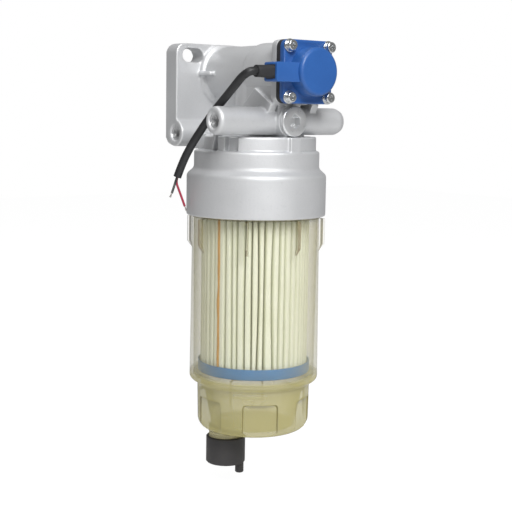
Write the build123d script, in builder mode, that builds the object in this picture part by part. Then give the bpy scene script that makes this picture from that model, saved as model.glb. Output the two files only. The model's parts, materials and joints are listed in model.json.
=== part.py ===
"""Fuel water separator: cast head with an electric priming pump, pleated element and clear screw-on bowl.

Millimetres, +Z up. The origin is midway between the two mounting slots, on the plate's back face, and the
object hangs in front of it, towards -Y. Heights are counted from the collar's top (rise) and reaches are
counted forwards from the bowl's axis.
"""

import os
from math import cos, pi, radians, sin, sqrt, tan

from build123d import *

os.makedirs("parts", exist_ok=True)

# Where the bowl's axis and the collar's top lie, seen from the mounting slots
bowl_reach = 69.0
slot_rise = 78.3

# Fits
running_gap = 0.05
seat_gap = 0.3
thread_gap = 0.3
rotor_clearance = 0.5

# Head casting: collar, skirt and drum
collar_radius = 52.0
collar_height = 14.3
flare_height = 5.2
skirt_radius = 58.0
skirt_length = 53.3
collar_round = 1.5
flare_round = 4.0
skirt_rim_round = 1.2
cavity_radius = 48.8
roof_thickness = 6.0
thread_depth = 24.0
thread_relief = 3.0
drum_radius = 49.0
drum_core_radius = 43.5
drum_height = 11.8
drum_front_half_angle = 55.6
drum_lug_angles = (69.0, 78.0)
drum_rib_angle = 85.0
drum_rib_width = 3.0
drum_rib_bite = 4.0
drum_rib_proud = 1.5
drum_rib_lean = 4.0
drum_rib_rise = 3.0

# Mounting plate with its slots and rear pockets
plate_width = 90.4
plate_top = 88.0
plate_bottom = 2.0
plate_thickness = 16.2
plate_corner = 9.0
plate_skin = 6.5
plate_rim = 6.0
pocket_columns = 3
pocket_rows = 2
pocket_rib = 6.0
pocket_corner = 4.0
slot_spacing = 57.2
slot_width = 11.4
slot_length = 20.6
slot_land = 5.0

# Port gallery along the plate's foot
gallery_radius = 11.2
gallery_reach = -55.1
gallery_rise = 13.1
port_radius = 6.25
port_depth = 15.0
passage_radius = 4.2
riser_radius = 3.6
bore_overrun = 0.9

# Pump barrel, its flare at the plate and its front flange. Its axis lies to the right of the bowl's
pump_side = 5.0
pump_rise = 63.2
barrel_radius = 24.5
barrel_step = 1.5
barrel_step_reach = 4.0
flare_radius = 3.8
fin_half_span = 28.0
fin_length = 17.0
fin_thickness = 3.2
flange_corner = 6.0
flange_thickness = 6.6
flange_back = 42.2
column_radius = 18.4
barrel_bite = 12.0
web_width = 16.0
saddle_width = 56.0
saddle_start = 25.0

# Cross tube with the two side ports and the front boss
tube_radius = 11.1
tube_half_length = 66.7
tube_reach = 30.3
tube_rise = 24.5
tube_right_length = 61.2
tube_left_round = 3.0
tube_end_length = 5.0
tube_end_drop = 2.2
tube_end_round = 0.8
port_chamfer = 1.2
boss_radius = 12.8
boss_face = 44.7
front_rib_width = 10.5
front_rib_reach = 51.0
bridge_width = 34.0
boss_inset = 3.0
gusset_inset = 3.0
gusset_thickness = 7.0
gusset_foot_reach = 4.0
gusset_foot_rise = 36.0
gusset_apex_reach = 21.4
gusset_apex_rise = 51.0

# Gasket, cover and its screws
gasket_thickness = 4.5
cover_thickness = 4.9
cover_round = 1.2
dome_radius = 19.0
dome_height = 14.2
dome_round = 3.0
dome_wall = 2.6
arm_end = 40.2
arm_height = 14.8
arm_drop = 1.0
arm_depth = 15.3
arm_round = 1.6
socket_depth = 9.0
socket_wall = 2.0
screw_pitch = 39.5
screw_margin = 5.05
screw_radius = 2.4
screw_head_radius = 4.3
screw_head_height = 3.1
screw_head_round = 1.1
screw_cross_length = 4.6
screw_cross_width = 1.0
screw_cross_depth = 1.8
flat_washer_radius = 5.2
flat_washer_thickness = 1.0
spring_washer_radius = 4.4
spring_washer_thickness = 1.3
spring_washer_split = 0.6
screw_hole_gap = 0.3
screw_tip_depth = 0.6

# Front plug, side plug and check valve
plug_flange_radius = 12.4
plug_flange_thickness = 3.0
plug_flange_chamfer = 0.9
plug_clearance = 0.8
plug_washer_thickness = 1.5
plug_body_radius = 9.4
plug_body_length = 11.0
plug_socket = 10.0
plug_socket_depth = 7.0
side_plug_radius = 7.6
side_plug_length = 11.0
side_plug_proud = 1.4
side_plug_chamfer = 0.8
side_plug_socket = 6.0
valve_chamber_radius = 6.6
valve_seat_rise = 9.0
ball_radius = 5.2
ball_gap = 0.05
retainer_thickness = 2.0
spring_wire = 0.8
spring_radius = 3.2
spring_turns = 4

# Motor and pump stage inside the barrel
motor_bore_radius = 20.2
motor_case_wall = 1.5
motor_case_length = 64.0
motor_proud = 3.0
motor_rear_wall = 2.0
magnet_radius = 15.0
magnet_overhang = 2.0
magnet_span = 130.0
shaft_radius = 2.5
shaft_proud = 16.6
shaft_inset = 1.8
armature_radius = 14.2
armature_slots = 7
armature_slot_width = 3.0
armature_slot_depth = 7.5
armature_slot_overrun = 0.25
winding_radius = 12.0
winding_length = 4.0
winding_round = 1.4
winding_gap = 1.0
winding_end_gap = 4.75
commutator_radius = 6.5
commutator_length = 9.0
commutator_segments = 7
commutator_groove = 0.5
commutator_groove_depth = 0.8
bush_radius = 5.0
bush_length = 4.0
bush_wall = 3.0
rear_bush_proud = 1.0
brush_width = 4.0
brush_length = 7.0
brush_plate_thickness = 2.0
brush_plate_inset = 5.7
brush_plate_gap = 0.5
brush_play = 0.1
brush_box_wall = 1.2
brush_box_inset = 1.5
pump_plate_thickness = 6.0
seal_radius = 8.0
seal_thickness = 3.0
pump_port_radius = 2.8
impeller_radius = 15.6
impeller_thickness = 5.0
impeller_play = 1.0
impeller_vanes = 14
vane_pocket_depth = 4.0
vane_thickness = 1.2
volute_end_wall = 3.0

# Filter element and its nipple
element_top = -26.0
element_bottom = -184.6
cap_radius = 47.2
cap_floor = 3.0
cap_lip_height = 8.9
cap_lip = 1.0
cap_round = 0.8
top_cap_thickness = 6.0
top_cap_floor = 1.5
pleat_count = 48
pleat_outer = 45.2
pleat_inner = 31.0
pleat_shift = 2.6
core_wall = 1.2
core_rows = 5
core_slot_width = 12.0
core_slot_height = 16.0
seam_pleat = 25
seam_lift = 0.04
seam_depth = 0.22
nipple_radius = 11.0
nipple_bore = 8.0
nipple_thread_radius = 9.5
nipple_length = 34.0
nipple_chamfer = 1.2
nipple_thread_proud = 4.0
top_seal_radius = 15.0
top_seal_thickness = 9.0

# Bowl
bowl_radius = 54.9
bowl_foot_radius = 54.2
bowl_wall = 3.2
bowl_rim = -31.0
bowl_neck_inner = 49.3
shoulder_rise = -191.5
sump_radius = 47.6
sump_foot_radius = 46.8
sump_inner = 41.0
bowl_bottom = -234.0
bowl_floor = 3.2
sump_round = 9.0
shoulder_round = 4.0
shoulder_step = 1.5
neck_round = 0.3
lip_round = 1.0
inner_round = 1.0
inner_shoulder_round = 1.5
rib_count = 8
rib_radius = 57.9
rib_width = 2.4
rib_foot = -76.5
rib_taper = 6.0
rib_bite = 1.5
rib_drop = 1.5
flat_count = 6
flat_distance = 43.8
flat_top = -205.3
flat_width = 28.8
flat_corner = 3.0
bowl_ring_section = 2.6

# Drain
drain_x = -18.0
drain_reach = -14.0
drain_neck_radius = 14.5
drain_neck_bore = 9.5
drain_neck_foot = -256.5
knob_radius = 16.7
knob_top = -243.0
knob_bottom = -266.0
knob_chamfer = 1.0
knob_rim_chamfer = 0.8
knob_floor = 9.0
stem_radius = 9.0
stem_top = -239.5
stem_chamfer = 0.8
ring_depth = 2.2
drain_ring_section = 1.9
groove_rise = 0.4
groove_play = 0.1
spout_offset = 12.0
spout_angle = -37.8
spout_radius = 3.65
spout_bore = 1.9
spout_chamfer = 0.7
spout_foot = -275.6

# Pump lead
cable_diameter = 6.5
boot_length = 14.0
boot_end_radius = 4.6
boot_corner = 2.5
bend_share = 0.45
wire_diameter = 1.9
core_diameter = 1.0
tail_gap = 0.2
tail_run = 4.0
tail_bend = 1.6


def level(rise):
    """Level plane at a height above the collar's top, centred on the bowl's axis."""
    return Plane(origin=(0, -bowl_reach, rise - slot_rise))


def facing_front(reach, rise):
    """Upright plane that faces forwards, with X to the right and Z up."""
    return Plane(origin=(0, -bowl_reach - reach, rise - slot_rise), x_dir=(1, 0, 0), z_dir=(0, -1, 0))


def facing_left(x, reach, rise):
    """Upright plane that faces -X, with its own x forwards and y up."""
    return Plane(origin=(x, -bowl_reach - reach, rise - slot_rise), x_dir=(0, -1, 0), z_dir=(-1, 0, 0))


def place(x, reach, rise):
    """A point given by its X, its reach in front of the bowl's axis and its rise above the collar's top."""
    return Vector(x, -bowl_reach - reach, rise - slot_rise)


def facing_pump(reach, drop=0):
    """Upright plane that faces forwards, centred on the pump's axis or a drop below it."""
    origin = (pump_side, -bowl_reach - reach, pump_rise - drop - slot_rise)
    return Plane(origin=origin, x_dir=(1, 0, 0), z_dir=(0, -1, 0))


def save(piece, name):
    """Labels a finished piece and writes its STEP file."""
    piece.label = name
    export_step(piece, f"parts/{name}.step")


bowl_axis = Axis(place(0, 0, 0), (0, 0, 1))
bowl_section = facing_front(0, 0)
tube_axis = Axis(place(0, tube_reach, tube_rise), (1, 0, 0))
pump_axis = Axis(place(pump_side, 0, pump_rise), (0, -1, 0))
pump_section = facing_left(pump_side, 0, pump_rise)
drain_axis = Axis(place(drain_x, drain_reach, 0), (0, 0, 1))
drain_section = Plane(origin=place(drain_x, drain_reach, 0), x_dir=(1, 0, 0), z_dir=(0, -1, 0))

flange_side = screw_pitch + 2 * screw_margin
plate_face = plate_thickness - bowl_reach
flange_face = flange_back + flange_thickness
gasket_face = flange_face + gasket_thickness
cover_face = gasket_face + cover_thickness
thread_radius = bowl_neck_inner + bowl_wall + thread_gap
motor_front = flange_face + motor_proud
motor_rear = motor_front - motor_case_length
rear_bush = motor_rear - rear_bush_proud
pump_plate_back = motor_rear - pump_plate_thickness
volute_back = pump_plate_back - impeller_thickness - 2 * impeller_play - volute_end_wall
chamber_end = volute_back - seat_gap
shaft_front = flange_face + shaft_proud
shaft_rear = volute_back + shaft_inset
brush_front = motor_front - brush_plate_inset - brush_plate_thickness - brush_plate_gap
commutator_rear = brush_front - commutator_length
armature_front = commutator_rear - winding_gap - winding_length
armature_rear = rear_bush + bush_length + winding_end_gap + winding_length + running_gap
armature_length = armature_front - armature_rear
magnet_length = armature_length + 2 * magnet_overhang

# The flare that runs the barrel out into the plate, kept inside the plate's outline
with BuildPart() as barrel_flare:
    with BuildSketch(pump_section):
        with BuildLine():
            flare_start = plate_face + flare_radius
            sweep_out = RadiusArc(
                (flare_start, barrel_radius - barrel_step),
                (plate_face, barrel_radius - barrel_step + flare_radius),
                -flare_radius,
            )
            Line(sweep_out @ 1, (plate_face - 1, barrel_radius - barrel_step + flare_radius))
            Line((plate_face - 1, barrel_radius - barrel_step + flare_radius), (plate_face - 1, 0))
            Line((plate_face - 1, 0), (flare_start, 0))
            Line((flare_start, 0), sweep_out @ 0)
        make_face()
    revolve(axis=pump_axis)
    with BuildSketch(facing_front(plate_face - 2, (plate_top + plate_bottom) / 2)):
        RectangleRounded(plate_width, plate_top - plate_bottom, plate_corner)
    extrude(amount=flare_radius + 4, mode=Mode.INTERSECT)

# Head casting
with BuildPart() as head_casting:
    # Collar, flare and skirt with the bowl's bore, turned about the bowl's axis
    with BuildSketch(bowl_section):
        with BuildLine():
            outside = FilletPolyline(
                (0, 0),
                (collar_radius, 0),
                (collar_radius, -collar_height),
                (skirt_radius, -collar_height - flare_height),
                (skirt_radius, -skirt_length),
                (thread_radius, -skirt_length),
                radius=[collar_round, flare_round, flare_round, skirt_rim_round],
            )
            Polyline(
                outside @ 1,
                (thread_radius, thread_depth - skirt_length),
                (cavity_radius, thread_depth - skirt_length + thread_relief),
                (cavity_radius, -roof_thickness),
                (0, -roof_thickness),
                (0, 0),
            )
        make_face()
    revolve(axis=bowl_axis)

    # Drum on the collar: a core with a raised front wall, side lugs and thin ribs
    with BuildSketch(level(-1)):
        Circle(drum_core_radius)
    extrude(amount=drum_height + 1)
    wall_spans = [(-90 - drum_front_half_angle, 2 * drum_front_half_angle)]
    for side in (-1, 1):
        inner_turn, outer_turn = (-90 + side * turn for turn in drum_lug_angles)
        wall_spans.append((inner_turn, outer_turn - inner_turn))
    for start, span in wall_spans:
        with BuildSketch(level(-1)):
            with BuildLine():
                rim = CenterArc((0, 0), drum_radius, start, span)
                Line(rim @ 1, (0, 0))
                Line((0, 0), rim @ 0)
            make_face()
        extrude(amount=drum_height + 1)
    for side in (-1, 1):
        turn = radians(-90 + side * drum_rib_angle)
        rib_plane = Plane(
            origin=place(0, 0, 0), x_dir=(cos(turn), sin(turn), 0), z_dir=(sin(turn), -cos(turn), 0)
        )
        with BuildSketch(rib_plane):
            Polygon(
                (drum_core_radius - drum_rib_bite, -1),
                (drum_radius + drum_rib_proud, -1),
                (drum_radius + drum_rib_proud - drum_rib_lean, drum_height + drum_rib_rise),
                (drum_core_radius - drum_rib_bite, drum_height + drum_rib_rise),
                align=None,
            )
        extrude(amount=drum_rib_width / 2, both=True)

    # Column that carries the barrel, the web behind it and the saddle under the gallery
    with BuildSketch(level(0)):
        Circle(column_radius)
    extrude(amount=pump_rise)
    with BuildSketch(level(0)):
        with Locations((0, -plate_face / 2)):
            Rectangle(web_width, -plate_face)
    extrude(amount=pump_rise)
    with BuildSketch(level(0)):
        with Locations((0, (saddle_start - gallery_reach) / 2)):
            Rectangle(saddle_width, -gallery_reach - saddle_start)
    extrude(amount=gallery_rise)

    # Cross tube, front boss, the rib under it and the bridge up to the flange
    with BuildSketch(level(tube_rise)):
        with BuildLine():
            tube_side = FilletPolyline(
                (-tube_half_length, -tube_reach),
                (-tube_half_length, -tube_reach - tube_radius),
                (tube_right_length - tube_end_length, -tube_reach - tube_radius),
                (tube_right_length, -tube_reach - tube_radius + tube_end_drop),
                (tube_right_length, -tube_reach),
                radius=[tube_left_round, tube_end_length / 2, tube_end_round],
            )
            Line(tube_side @ 1, tube_side @ 0)
        make_face()
    revolve(axis=tube_axis)
    with BuildSketch(facing_front(0, tube_rise)):
        Circle(boss_radius)
    extrude(amount=boss_face)
    front_ribs = (
        (boss_face - boss_inset, tube_rise),
        (front_rib_reach, tube_rise - plug_flange_radius - seat_gap),
    )
    for front, top in front_ribs:
        with BuildSketch(level(0)):
            with Locations((0, -(front + tube_reach) / 2)):
                Rectangle(front_rib_width, front - tube_reach)
        extrude(amount=top)
    bridges = (
        (tube_rise, boss_face - boss_inset, 2 * boss_radius - boss_inset),
        (tube_rise + plug_flange_radius + plug_clearance, flange_back + 1, bridge_width),
    )
    for foot, front, width in bridges:
        with BuildSketch(level(foot)):
            with Locations((0, -front / 2)):
                Rectangle(width, front)
        extrude(amount=pump_rise - foot - barrel_bite)

    # Barrel with its casting step, and the square flange for the cover
    with BuildSketch(facing_pump(plate_face - 1)):
        Circle(barrel_radius - barrel_step)
    extrude(amount=flange_back - plate_face + 1)
    with BuildSketch(facing_pump(barrel_step_reach)):
        Circle(barrel_radius)
    extrude(amount=flange_back - barrel_step_reach)
    with BuildSketch(facing_pump(flange_back)):
        RectangleRounded(flange_side, flange_side, flange_corner)
    extrude(amount=flange_thickness)
    for side in (-1, 1):
        with BuildSketch(facing_left(pump_side + side * (barrel_radius - gusset_inset), 0, 0)):
            Polygon(
                (tube_reach + tube_radius / 2, tube_rise),
                (gusset_foot_reach, tube_rise),
                (gusset_foot_reach, gusset_foot_rise),
                (gusset_apex_reach, gusset_apex_rise),
                (flange_back + 1, gusset_foot_rise + 2),
                align=None,
            )
        extrude(amount=gusset_thickness / 2, both=True)

    # Mounting plate, gallery, the flare and the small web beside it
    with BuildSketch(facing_front(-bowl_reach, (plate_top + plate_bottom) / 2)):
        RectangleRounded(plate_width, plate_top - plate_bottom, plate_corner)
    extrude(amount=plate_thickness)
    with BuildSketch(facing_left(-plate_width / 2, gallery_reach, gallery_rise)):
        Circle(gallery_radius)
    extrude(amount=-plate_width)
    add(barrel_flare.part)
    with BuildSketch(facing_pump(plate_face)):
        Rectangle(2 * fin_half_span, fin_thickness)
    extrude(amount=fin_length)

    # Rear pockets that core the plate out, with lands left round the slots
    pocket_top = slot_rise - slot_width / 2 - slot_land
    pocket_foot = gallery_rise + gallery_radius + 1
    column_pitch = (plate_width - 2 * plate_rim + pocket_rib) / pocket_columns
    row_pitch = (pocket_top - pocket_foot + pocket_rib) / pocket_rows
    with BuildSketch(facing_front(-bowl_reach, (pocket_top + pocket_foot) / 2)):
        with GridLocations(column_pitch, row_pitch, pocket_columns, pocket_rows):
            RectangleRounded(column_pitch - pocket_rib, row_pitch - pocket_rib, pocket_corner)
    extrude(amount=plate_thickness - plate_skin, mode=Mode.SUBTRACT)

    # Mounting slots
    with BuildSketch(facing_front(-bowl_reach, slot_rise)):
        with GridLocations(slot_spacing, 0, 2, 1):
            SlotOverall(slot_length, slot_width)
    extrude(amount=plate_thickness, mode=Mode.SUBTRACT)

    # Motor bore, the outlet behind it and the tapped holes for the cover
    with BuildSketch(facing_pump(flange_face)):
        Circle(motor_bore_radius)
    extrude(amount=chamber_end - flange_face, mode=Mode.SUBTRACT)
    with BuildSketch(facing_pump(chamber_end)):
        Circle(passage_radius)
    extrude(amount=plate_face + 2 - chamber_end, mode=Mode.SUBTRACT)
    with BuildSketch(facing_pump(flange_face)):
        with GridLocations(screw_pitch, screw_pitch, 2, 2):
            Circle(screw_radius + running_gap)
    extrude(amount=-flange_thickness, mode=Mode.SUBTRACT)

    # Fuel ways: side ports, front plug bore, check valve chamber, rising main and gallery
    for port in ((-tube_half_length, tube_reach, tube_rise), (-plate_width / 2, gallery_reach, gallery_rise)):
        mouth = facing_left(*port)
        with BuildSketch(mouth):
            Circle(port_radius)
        extrude(amount=-port_depth, mode=Mode.SUBTRACT)
        with BuildSketch(mouth):
            Circle(port_radius + port_chamfer)
        with BuildSketch(mouth.offset(-port_chamfer)):
            Circle(port_radius)
        loft(mode=Mode.SUBTRACT)
    with BuildSketch(facing_left(tube_right_length, tube_reach, tube_rise)):
        Circle(side_plug_radius + running_gap)
    extrude(amount=side_plug_length - side_plug_proud + 1, mode=Mode.SUBTRACT)
    with BuildSketch(facing_left(-tube_half_length + port_depth, tube_reach, tube_rise)):
        Circle(passage_radius)
    passage_length = tube_half_length + tube_right_length - port_depth - side_plug_length
    extrude(amount=-passage_length, mode=Mode.SUBTRACT)
    with BuildSketch(facing_front(boss_face, tube_rise)):
        Circle(plug_body_radius + running_gap)
    extrude(amount=-(boss_face - tube_reach + passage_radius + bore_overrun), mode=Mode.SUBTRACT)
    with BuildSketch(level(-roof_thickness)):
        with Locations((0, -tube_reach)):
            Circle(valve_chamber_radius)
    extrude(amount=roof_thickness + valve_seat_rise, mode=Mode.SUBTRACT)
    with BuildSketch(level(valve_seat_rise)):
        with Locations((0, -tube_reach)):
            Circle(riser_radius)
    extrude(amount=tube_rise - valve_seat_rise - bore_overrun, mode=Mode.SUBTRACT)
    with BuildSketch(level(-roof_thickness)):
        Circle(nipple_thread_radius + running_gap)
    extrude(amount=pump_rise - motor_bore_radius + roof_thickness + bore_overrun, mode=Mode.SUBTRACT)
    with BuildSketch(facing_left(-plate_width / 2 + port_depth, gallery_reach, gallery_rise)):
        Circle(passage_radius)
    extrude(amount=-(plate_width / 2 - port_depth + pump_side + passage_radius), mode=Mode.SUBTRACT)
    with BuildSketch(level(gallery_rise)):
        with Locations((pump_side, -plate_face - passage_radius)):
            Circle(riser_radius)
    extrude(amount=pump_rise - gallery_rise, mode=Mode.SUBTRACT)
save(head_casting.part, "head_casting")

# Pump gasket between the flange and the cover
with BuildPart() as pump_gasket:
    with BuildSketch(facing_pump(flange_face)):
        RectangleRounded(flange_side, flange_side, flange_corner)
        Circle(motor_bore_radius, mode=Mode.SUBTRACT)
        with GridLocations(screw_pitch, screw_pitch, 2, 2):
            Circle(screw_radius + screw_hole_gap, mode=Mode.SUBTRACT)
    extrude(amount=gasket_thickness)
save(pump_gasket.part, "pump_gasket")

# Pump cover: square plate, round dome and the arm that the lead comes out of
arm_rise = pump_rise - arm_drop
arm_tip = pump_side - arm_end
bush_seat = shaft_front - bush_length
with BuildPart() as pump_cover:
    with BuildSketch(facing_pump(gasket_face)):
        RectangleRounded(flange_side, flange_side, flange_corner)
    extrude(amount=cover_thickness)
    fillet(pump_cover.faces().sort_by(Axis.Y)[0].edges(), cover_round)
    with BuildSketch(facing_pump(gasket_face)):
        Circle(dome_radius)
    extrude(amount=cover_thickness + dome_height)
    dome_rim = pump_cover.edges().filter_by(GeomType.CIRCLE).sort_by(Axis.Y)[0]
    fillet(dome_rim, dome_round)
    with BuildSketch(facing_pump(gasket_face, arm_drop)):
        with Locations((-arm_end / 2, 0)):
            RectangleRounded(arm_end, arm_height, arm_round)
    extrude(amount=arm_depth)
    # Hollow of the dome with the front bearing's seat left in it
    with BuildSketch(facing_pump(gasket_face)):
        Circle(dome_radius - dome_wall)
        Circle(bush_radius + bush_wall, mode=Mode.SUBTRACT)
    extrude(amount=cover_thickness + dome_height - dome_wall, mode=Mode.SUBTRACT)
    with BuildSketch(facing_pump(gasket_face)):
        Circle(bush_radius + bush_wall)
    extrude(amount=bush_seat - gasket_face, mode=Mode.SUBTRACT)
    with BuildSketch(facing_pump(bush_seat)):
        Circle(bush_radius + running_gap)
    extrude(amount=bush_length + 1, mode=Mode.SUBTRACT)
    # Socket for the lead's grommet and the way in for its cores
    socket_middle = gasket_face + arm_depth / 2
    with BuildSketch(facing_left(arm_tip, socket_middle, arm_rise)):
        Rectangle(arm_depth - 2 * socket_wall, arm_height - 2 * socket_wall)
    extrude(amount=-socket_depth, mode=Mode.SUBTRACT)
    with BuildSketch(facing_left(arm_tip, socket_middle, arm_rise)):
        Circle(cable_diameter / 2)
    extrude(amount=-(arm_end - dome_radius + 2 * dome_wall), mode=Mode.SUBTRACT)
    with BuildSketch(facing_pump(gasket_face)):
        with GridLocations(screw_pitch, screw_pitch, 2, 2):
            Circle(screw_radius + screw_hole_gap)
    extrude(amount=cover_thickness, mode=Mode.SUBTRACT)
save(pump_cover.part, "pump_cover")

# Cover screws with their spring and flat washers
with BuildPart() as cover_flat_washers:
    with BuildSketch(facing_pump(cover_face)):
        with GridLocations(screw_pitch, screw_pitch, 2, 2):
            Circle(flat_washer_radius)
            Circle(screw_radius + running_gap, mode=Mode.SUBTRACT)
    extrude(amount=flat_washer_thickness)
save(cover_flat_washers.part, "cover_flat_washers")

spring_washer_base = cover_face + flat_washer_thickness
with BuildPart() as cover_spring_washers:
    with BuildSketch(facing_pump(spring_washer_base)):
        with GridLocations(screw_pitch, screw_pitch, 2, 2):
            Circle(spring_washer_radius)
            Circle(screw_radius + running_gap, mode=Mode.SUBTRACT)
        with GridLocations(screw_pitch, screw_pitch, 2, 2):
            with Locations((0, spring_washer_radius)):
                Rectangle(
                    spring_washer_split, 2 * spring_washer_radius - 2 * screw_radius, mode=Mode.SUBTRACT
                )
    extrude(amount=spring_washer_thickness)
save(cover_spring_washers.part, "cover_spring_washers")

screw_seat = spring_washer_base + spring_washer_thickness
with BuildPart() as cover_screws:
    with BuildSketch(facing_pump(screw_seat)):
        with GridLocations(screw_pitch, screw_pitch, 2, 2):
            Circle(screw_head_radius)
    extrude(amount=screw_head_height)
    head_rims = cover_screws.faces().filter_by(Axis.Y).group_by(Axis.Y)[0].edges()
    fillet(head_rims, screw_head_round)
    with BuildSketch(facing_pump(screw_seat)):
        with GridLocations(screw_pitch, screw_pitch, 2, 2):
            Circle(screw_radius)
    extrude(amount=flange_back + screw_tip_depth - screw_seat)
    with BuildSketch(facing_pump(screw_seat + screw_head_height)):
        with GridLocations(screw_pitch, screw_pitch, 2, 2):
            Rectangle(screw_cross_length, screw_cross_width)
            Rectangle(screw_cross_width, screw_cross_length)
    extrude(amount=-screw_cross_depth, mode=Mode.SUBTRACT)
save(cover_screws.part, "cover_screws")

# Front plug on its sealing washer, closing the tube's machining bore
plug_seat = boss_face + plug_washer_thickness
with BuildPart() as plug_washer:
    with BuildSketch(facing_front(boss_face, tube_rise)):
        Circle(plug_flange_radius)
        Circle(plug_body_radius + running_gap, mode=Mode.SUBTRACT)
    extrude(amount=plug_washer_thickness)
save(plug_washer.part, "plug_washer")

with BuildPart() as front_plug:
    with BuildSketch(facing_front(plug_seat, tube_rise)):
        Circle(plug_flange_radius)
    extrude(amount=plug_flange_thickness)
    chamfer(front_plug.edges().sort_by(Axis.Y)[0], plug_flange_chamfer)
    with BuildSketch(facing_front(plug_seat, tube_rise)):
        Circle(plug_body_radius)
    extrude(amount=-plug_body_length)
    with BuildSketch(facing_front(plug_seat + plug_flange_thickness, tube_rise)):
        RegularPolygon(plug_socket / 2, 6, major_radius=False, rotation=30)
    extrude(amount=-plug_socket_depth, mode=Mode.SUBTRACT)
save(front_plug.part, "front_plug")

# Side plug in the tube's right end
with BuildPart() as side_plug:
    with BuildSketch(facing_left(tube_right_length + side_plug_proud, tube_reach, tube_rise)):
        Circle(side_plug_radius)
    extrude(amount=side_plug_length)
    chamfer(side_plug.edges().filter_by(GeomType.CIRCLE).sort_by(Axis.X)[-1], side_plug_chamfer)
    with BuildSketch(facing_left(tube_right_length + side_plug_proud, tube_reach, tube_rise)):
        RegularPolygon(side_plug_socket / 2, 6, major_radius=False)
    extrude(amount=side_plug_length / 2, mode=Mode.SUBTRACT)
save(side_plug.part, "side_plug")

# Check valve in the inlet's down passage: ball, spring and retainer
ball_drop = sqrt(ball_radius**2 - riser_radius**2) + ball_gap
ball_rise = valve_seat_rise - ball_drop
with BuildPart() as check_ball:
    with BuildSketch(facing_front(tube_reach, ball_rise)):
        with BuildLine():
            half_moon = CenterArc((0, 0), ball_radius, -90, 180)
            Line(half_moon @ 1, half_moon @ 0)
        make_face()
    revolve(axis=Axis(place(0, tube_reach, 0), (0, 0, 1)))
save(check_ball.part, "check_ball")

with BuildPart() as valve_retainer:
    with BuildSketch(level(-roof_thickness)):
        with Locations((0, -tube_reach)):
            Circle(valve_chamber_radius - running_gap)
            Circle(spring_radius - spring_wire, mode=Mode.SUBTRACT)
    extrude(amount=retainer_thickness)
save(valve_retainer.part, "valve_retainer")

spring_foot = -roof_thickness + retainer_thickness + spring_wire / 2 + running_gap
spring_head = ball_rise - sqrt(ball_radius**2 - spring_radius**2) - spring_wire
spring_height = spring_head - spring_foot
with BuildPart() as check_spring:
    with BuildLine(Plane(origin=place(0, tube_reach, spring_foot))):
        coil = Helix(pitch=spring_height / spring_turns, height=spring_height, radius=spring_radius)
    with BuildSketch(Plane(origin=coil @ 0, z_dir=coil % 0)):
        RegularPolygon(spring_wire / 2, 6)
    sweep(is_frenet=True)
save(check_spring.part, "check_spring")

# Motor case: a drawn cup that holds the magnets and the rear bearing
motor_case_radius = motor_bore_radius - seat_gap
with BuildPart() as motor_case:
    with BuildSketch(facing_pump(motor_rear)):
        Circle(motor_case_radius)
    extrude(amount=motor_case_length)
    with BuildSketch(facing_pump(motor_rear + motor_rear_wall)):
        Circle(motor_case_radius - motor_case_wall)
    extrude(amount=motor_case_length, mode=Mode.SUBTRACT)
    with BuildSketch(facing_pump(motor_rear)):
        Circle(bush_radius + running_gap)
    extrude(amount=motor_rear_wall, mode=Mode.SUBTRACT)
save(motor_case.part, "motor_case")

magnet_outer = motor_case_radius - motor_case_wall - running_gap
with BuildPart() as motor_magnets:
    for start in (-magnet_span / 2, 180 - magnet_span / 2):
        with BuildSketch(facing_pump(armature_rear - magnet_overhang)):
            with BuildLine():
                back = CenterArc((0, 0), magnet_outer, start, magnet_span)
                bore = CenterArc((0, 0), magnet_radius, start, magnet_span)
                Line(back @ 0, bore @ 0)
                Line(back @ 1, bore @ 1)
            make_face()
        extrude(amount=magnet_length)
save(motor_magnets.part, "motor_magnets")

# Rotor: shaft, slotted armature, end windings, commutator and the impeller at its rear
with BuildPart() as rotor_shaft:
    with BuildSketch(facing_pump(shaft_rear)):
        Circle(shaft_radius)
    extrude(amount=shaft_front - shaft_rear)
save(rotor_shaft.part, "rotor_shaft")

slot_middle = armature_radius + armature_slot_overrun - armature_slot_depth / 2
with BuildPart() as armature_core:
    with BuildSketch(facing_pump(armature_rear)):
        Circle(armature_radius)
        with PolarLocations(slot_middle, armature_slots):
            Rectangle(armature_slot_depth, armature_slot_width, mode=Mode.SUBTRACT)
        Circle(shaft_radius + running_gap, mode=Mode.SUBTRACT)
    extrude(amount=armature_length)
save(armature_core.part, "armature_core")

with BuildPart() as armature_windings:
    for start in (armature_rear - winding_length - running_gap, armature_front + running_gap):
        with BuildSketch(facing_pump(start)):
            Circle(winding_radius)
            Circle(shaft_radius + running_gap, mode=Mode.SUBTRACT)
        extrude(amount=winding_length)
    fillet(armature_windings.edges().filter_by(GeomType.CIRCLE).group_by(SortBy.LENGTH)[-1], winding_round)
save(armature_windings.part, "armature_windings")

with BuildPart() as commutator:
    with BuildSketch(facing_pump(commutator_rear)):
        Circle(commutator_radius)
        with PolarLocations(commutator_radius, commutator_segments):
            Rectangle(2 * commutator_groove_depth, commutator_groove, mode=Mode.SUBTRACT)
        Circle(shaft_radius + running_gap, mode=Mode.SUBTRACT)
    extrude(amount=commutator_length)
save(commutator.part, "commutator")

brush_start = commutator_radius + running_gap
with BuildPart() as brush_plate:
    with BuildSketch(facing_pump(brush_front + brush_plate_gap)):
        Circle(magnet_outer)
        Circle(commutator_radius + 1, mode=Mode.SUBTRACT)
    extrude(amount=brush_plate_thickness)
    with BuildSketch(facing_pump(brush_front + brush_plate_gap)):
        with PolarLocations(brush_start + brush_box_inset + brush_length / 2, 2, start_angle=90):
            Rectangle(brush_length, brush_width + 2 * brush_box_wall)
            Rectangle(brush_length, brush_width + 2 * brush_play, mode=Mode.SUBTRACT)
    extrude(amount=-(brush_width + 1))
save(brush_plate.part, "brush_plate")

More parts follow.
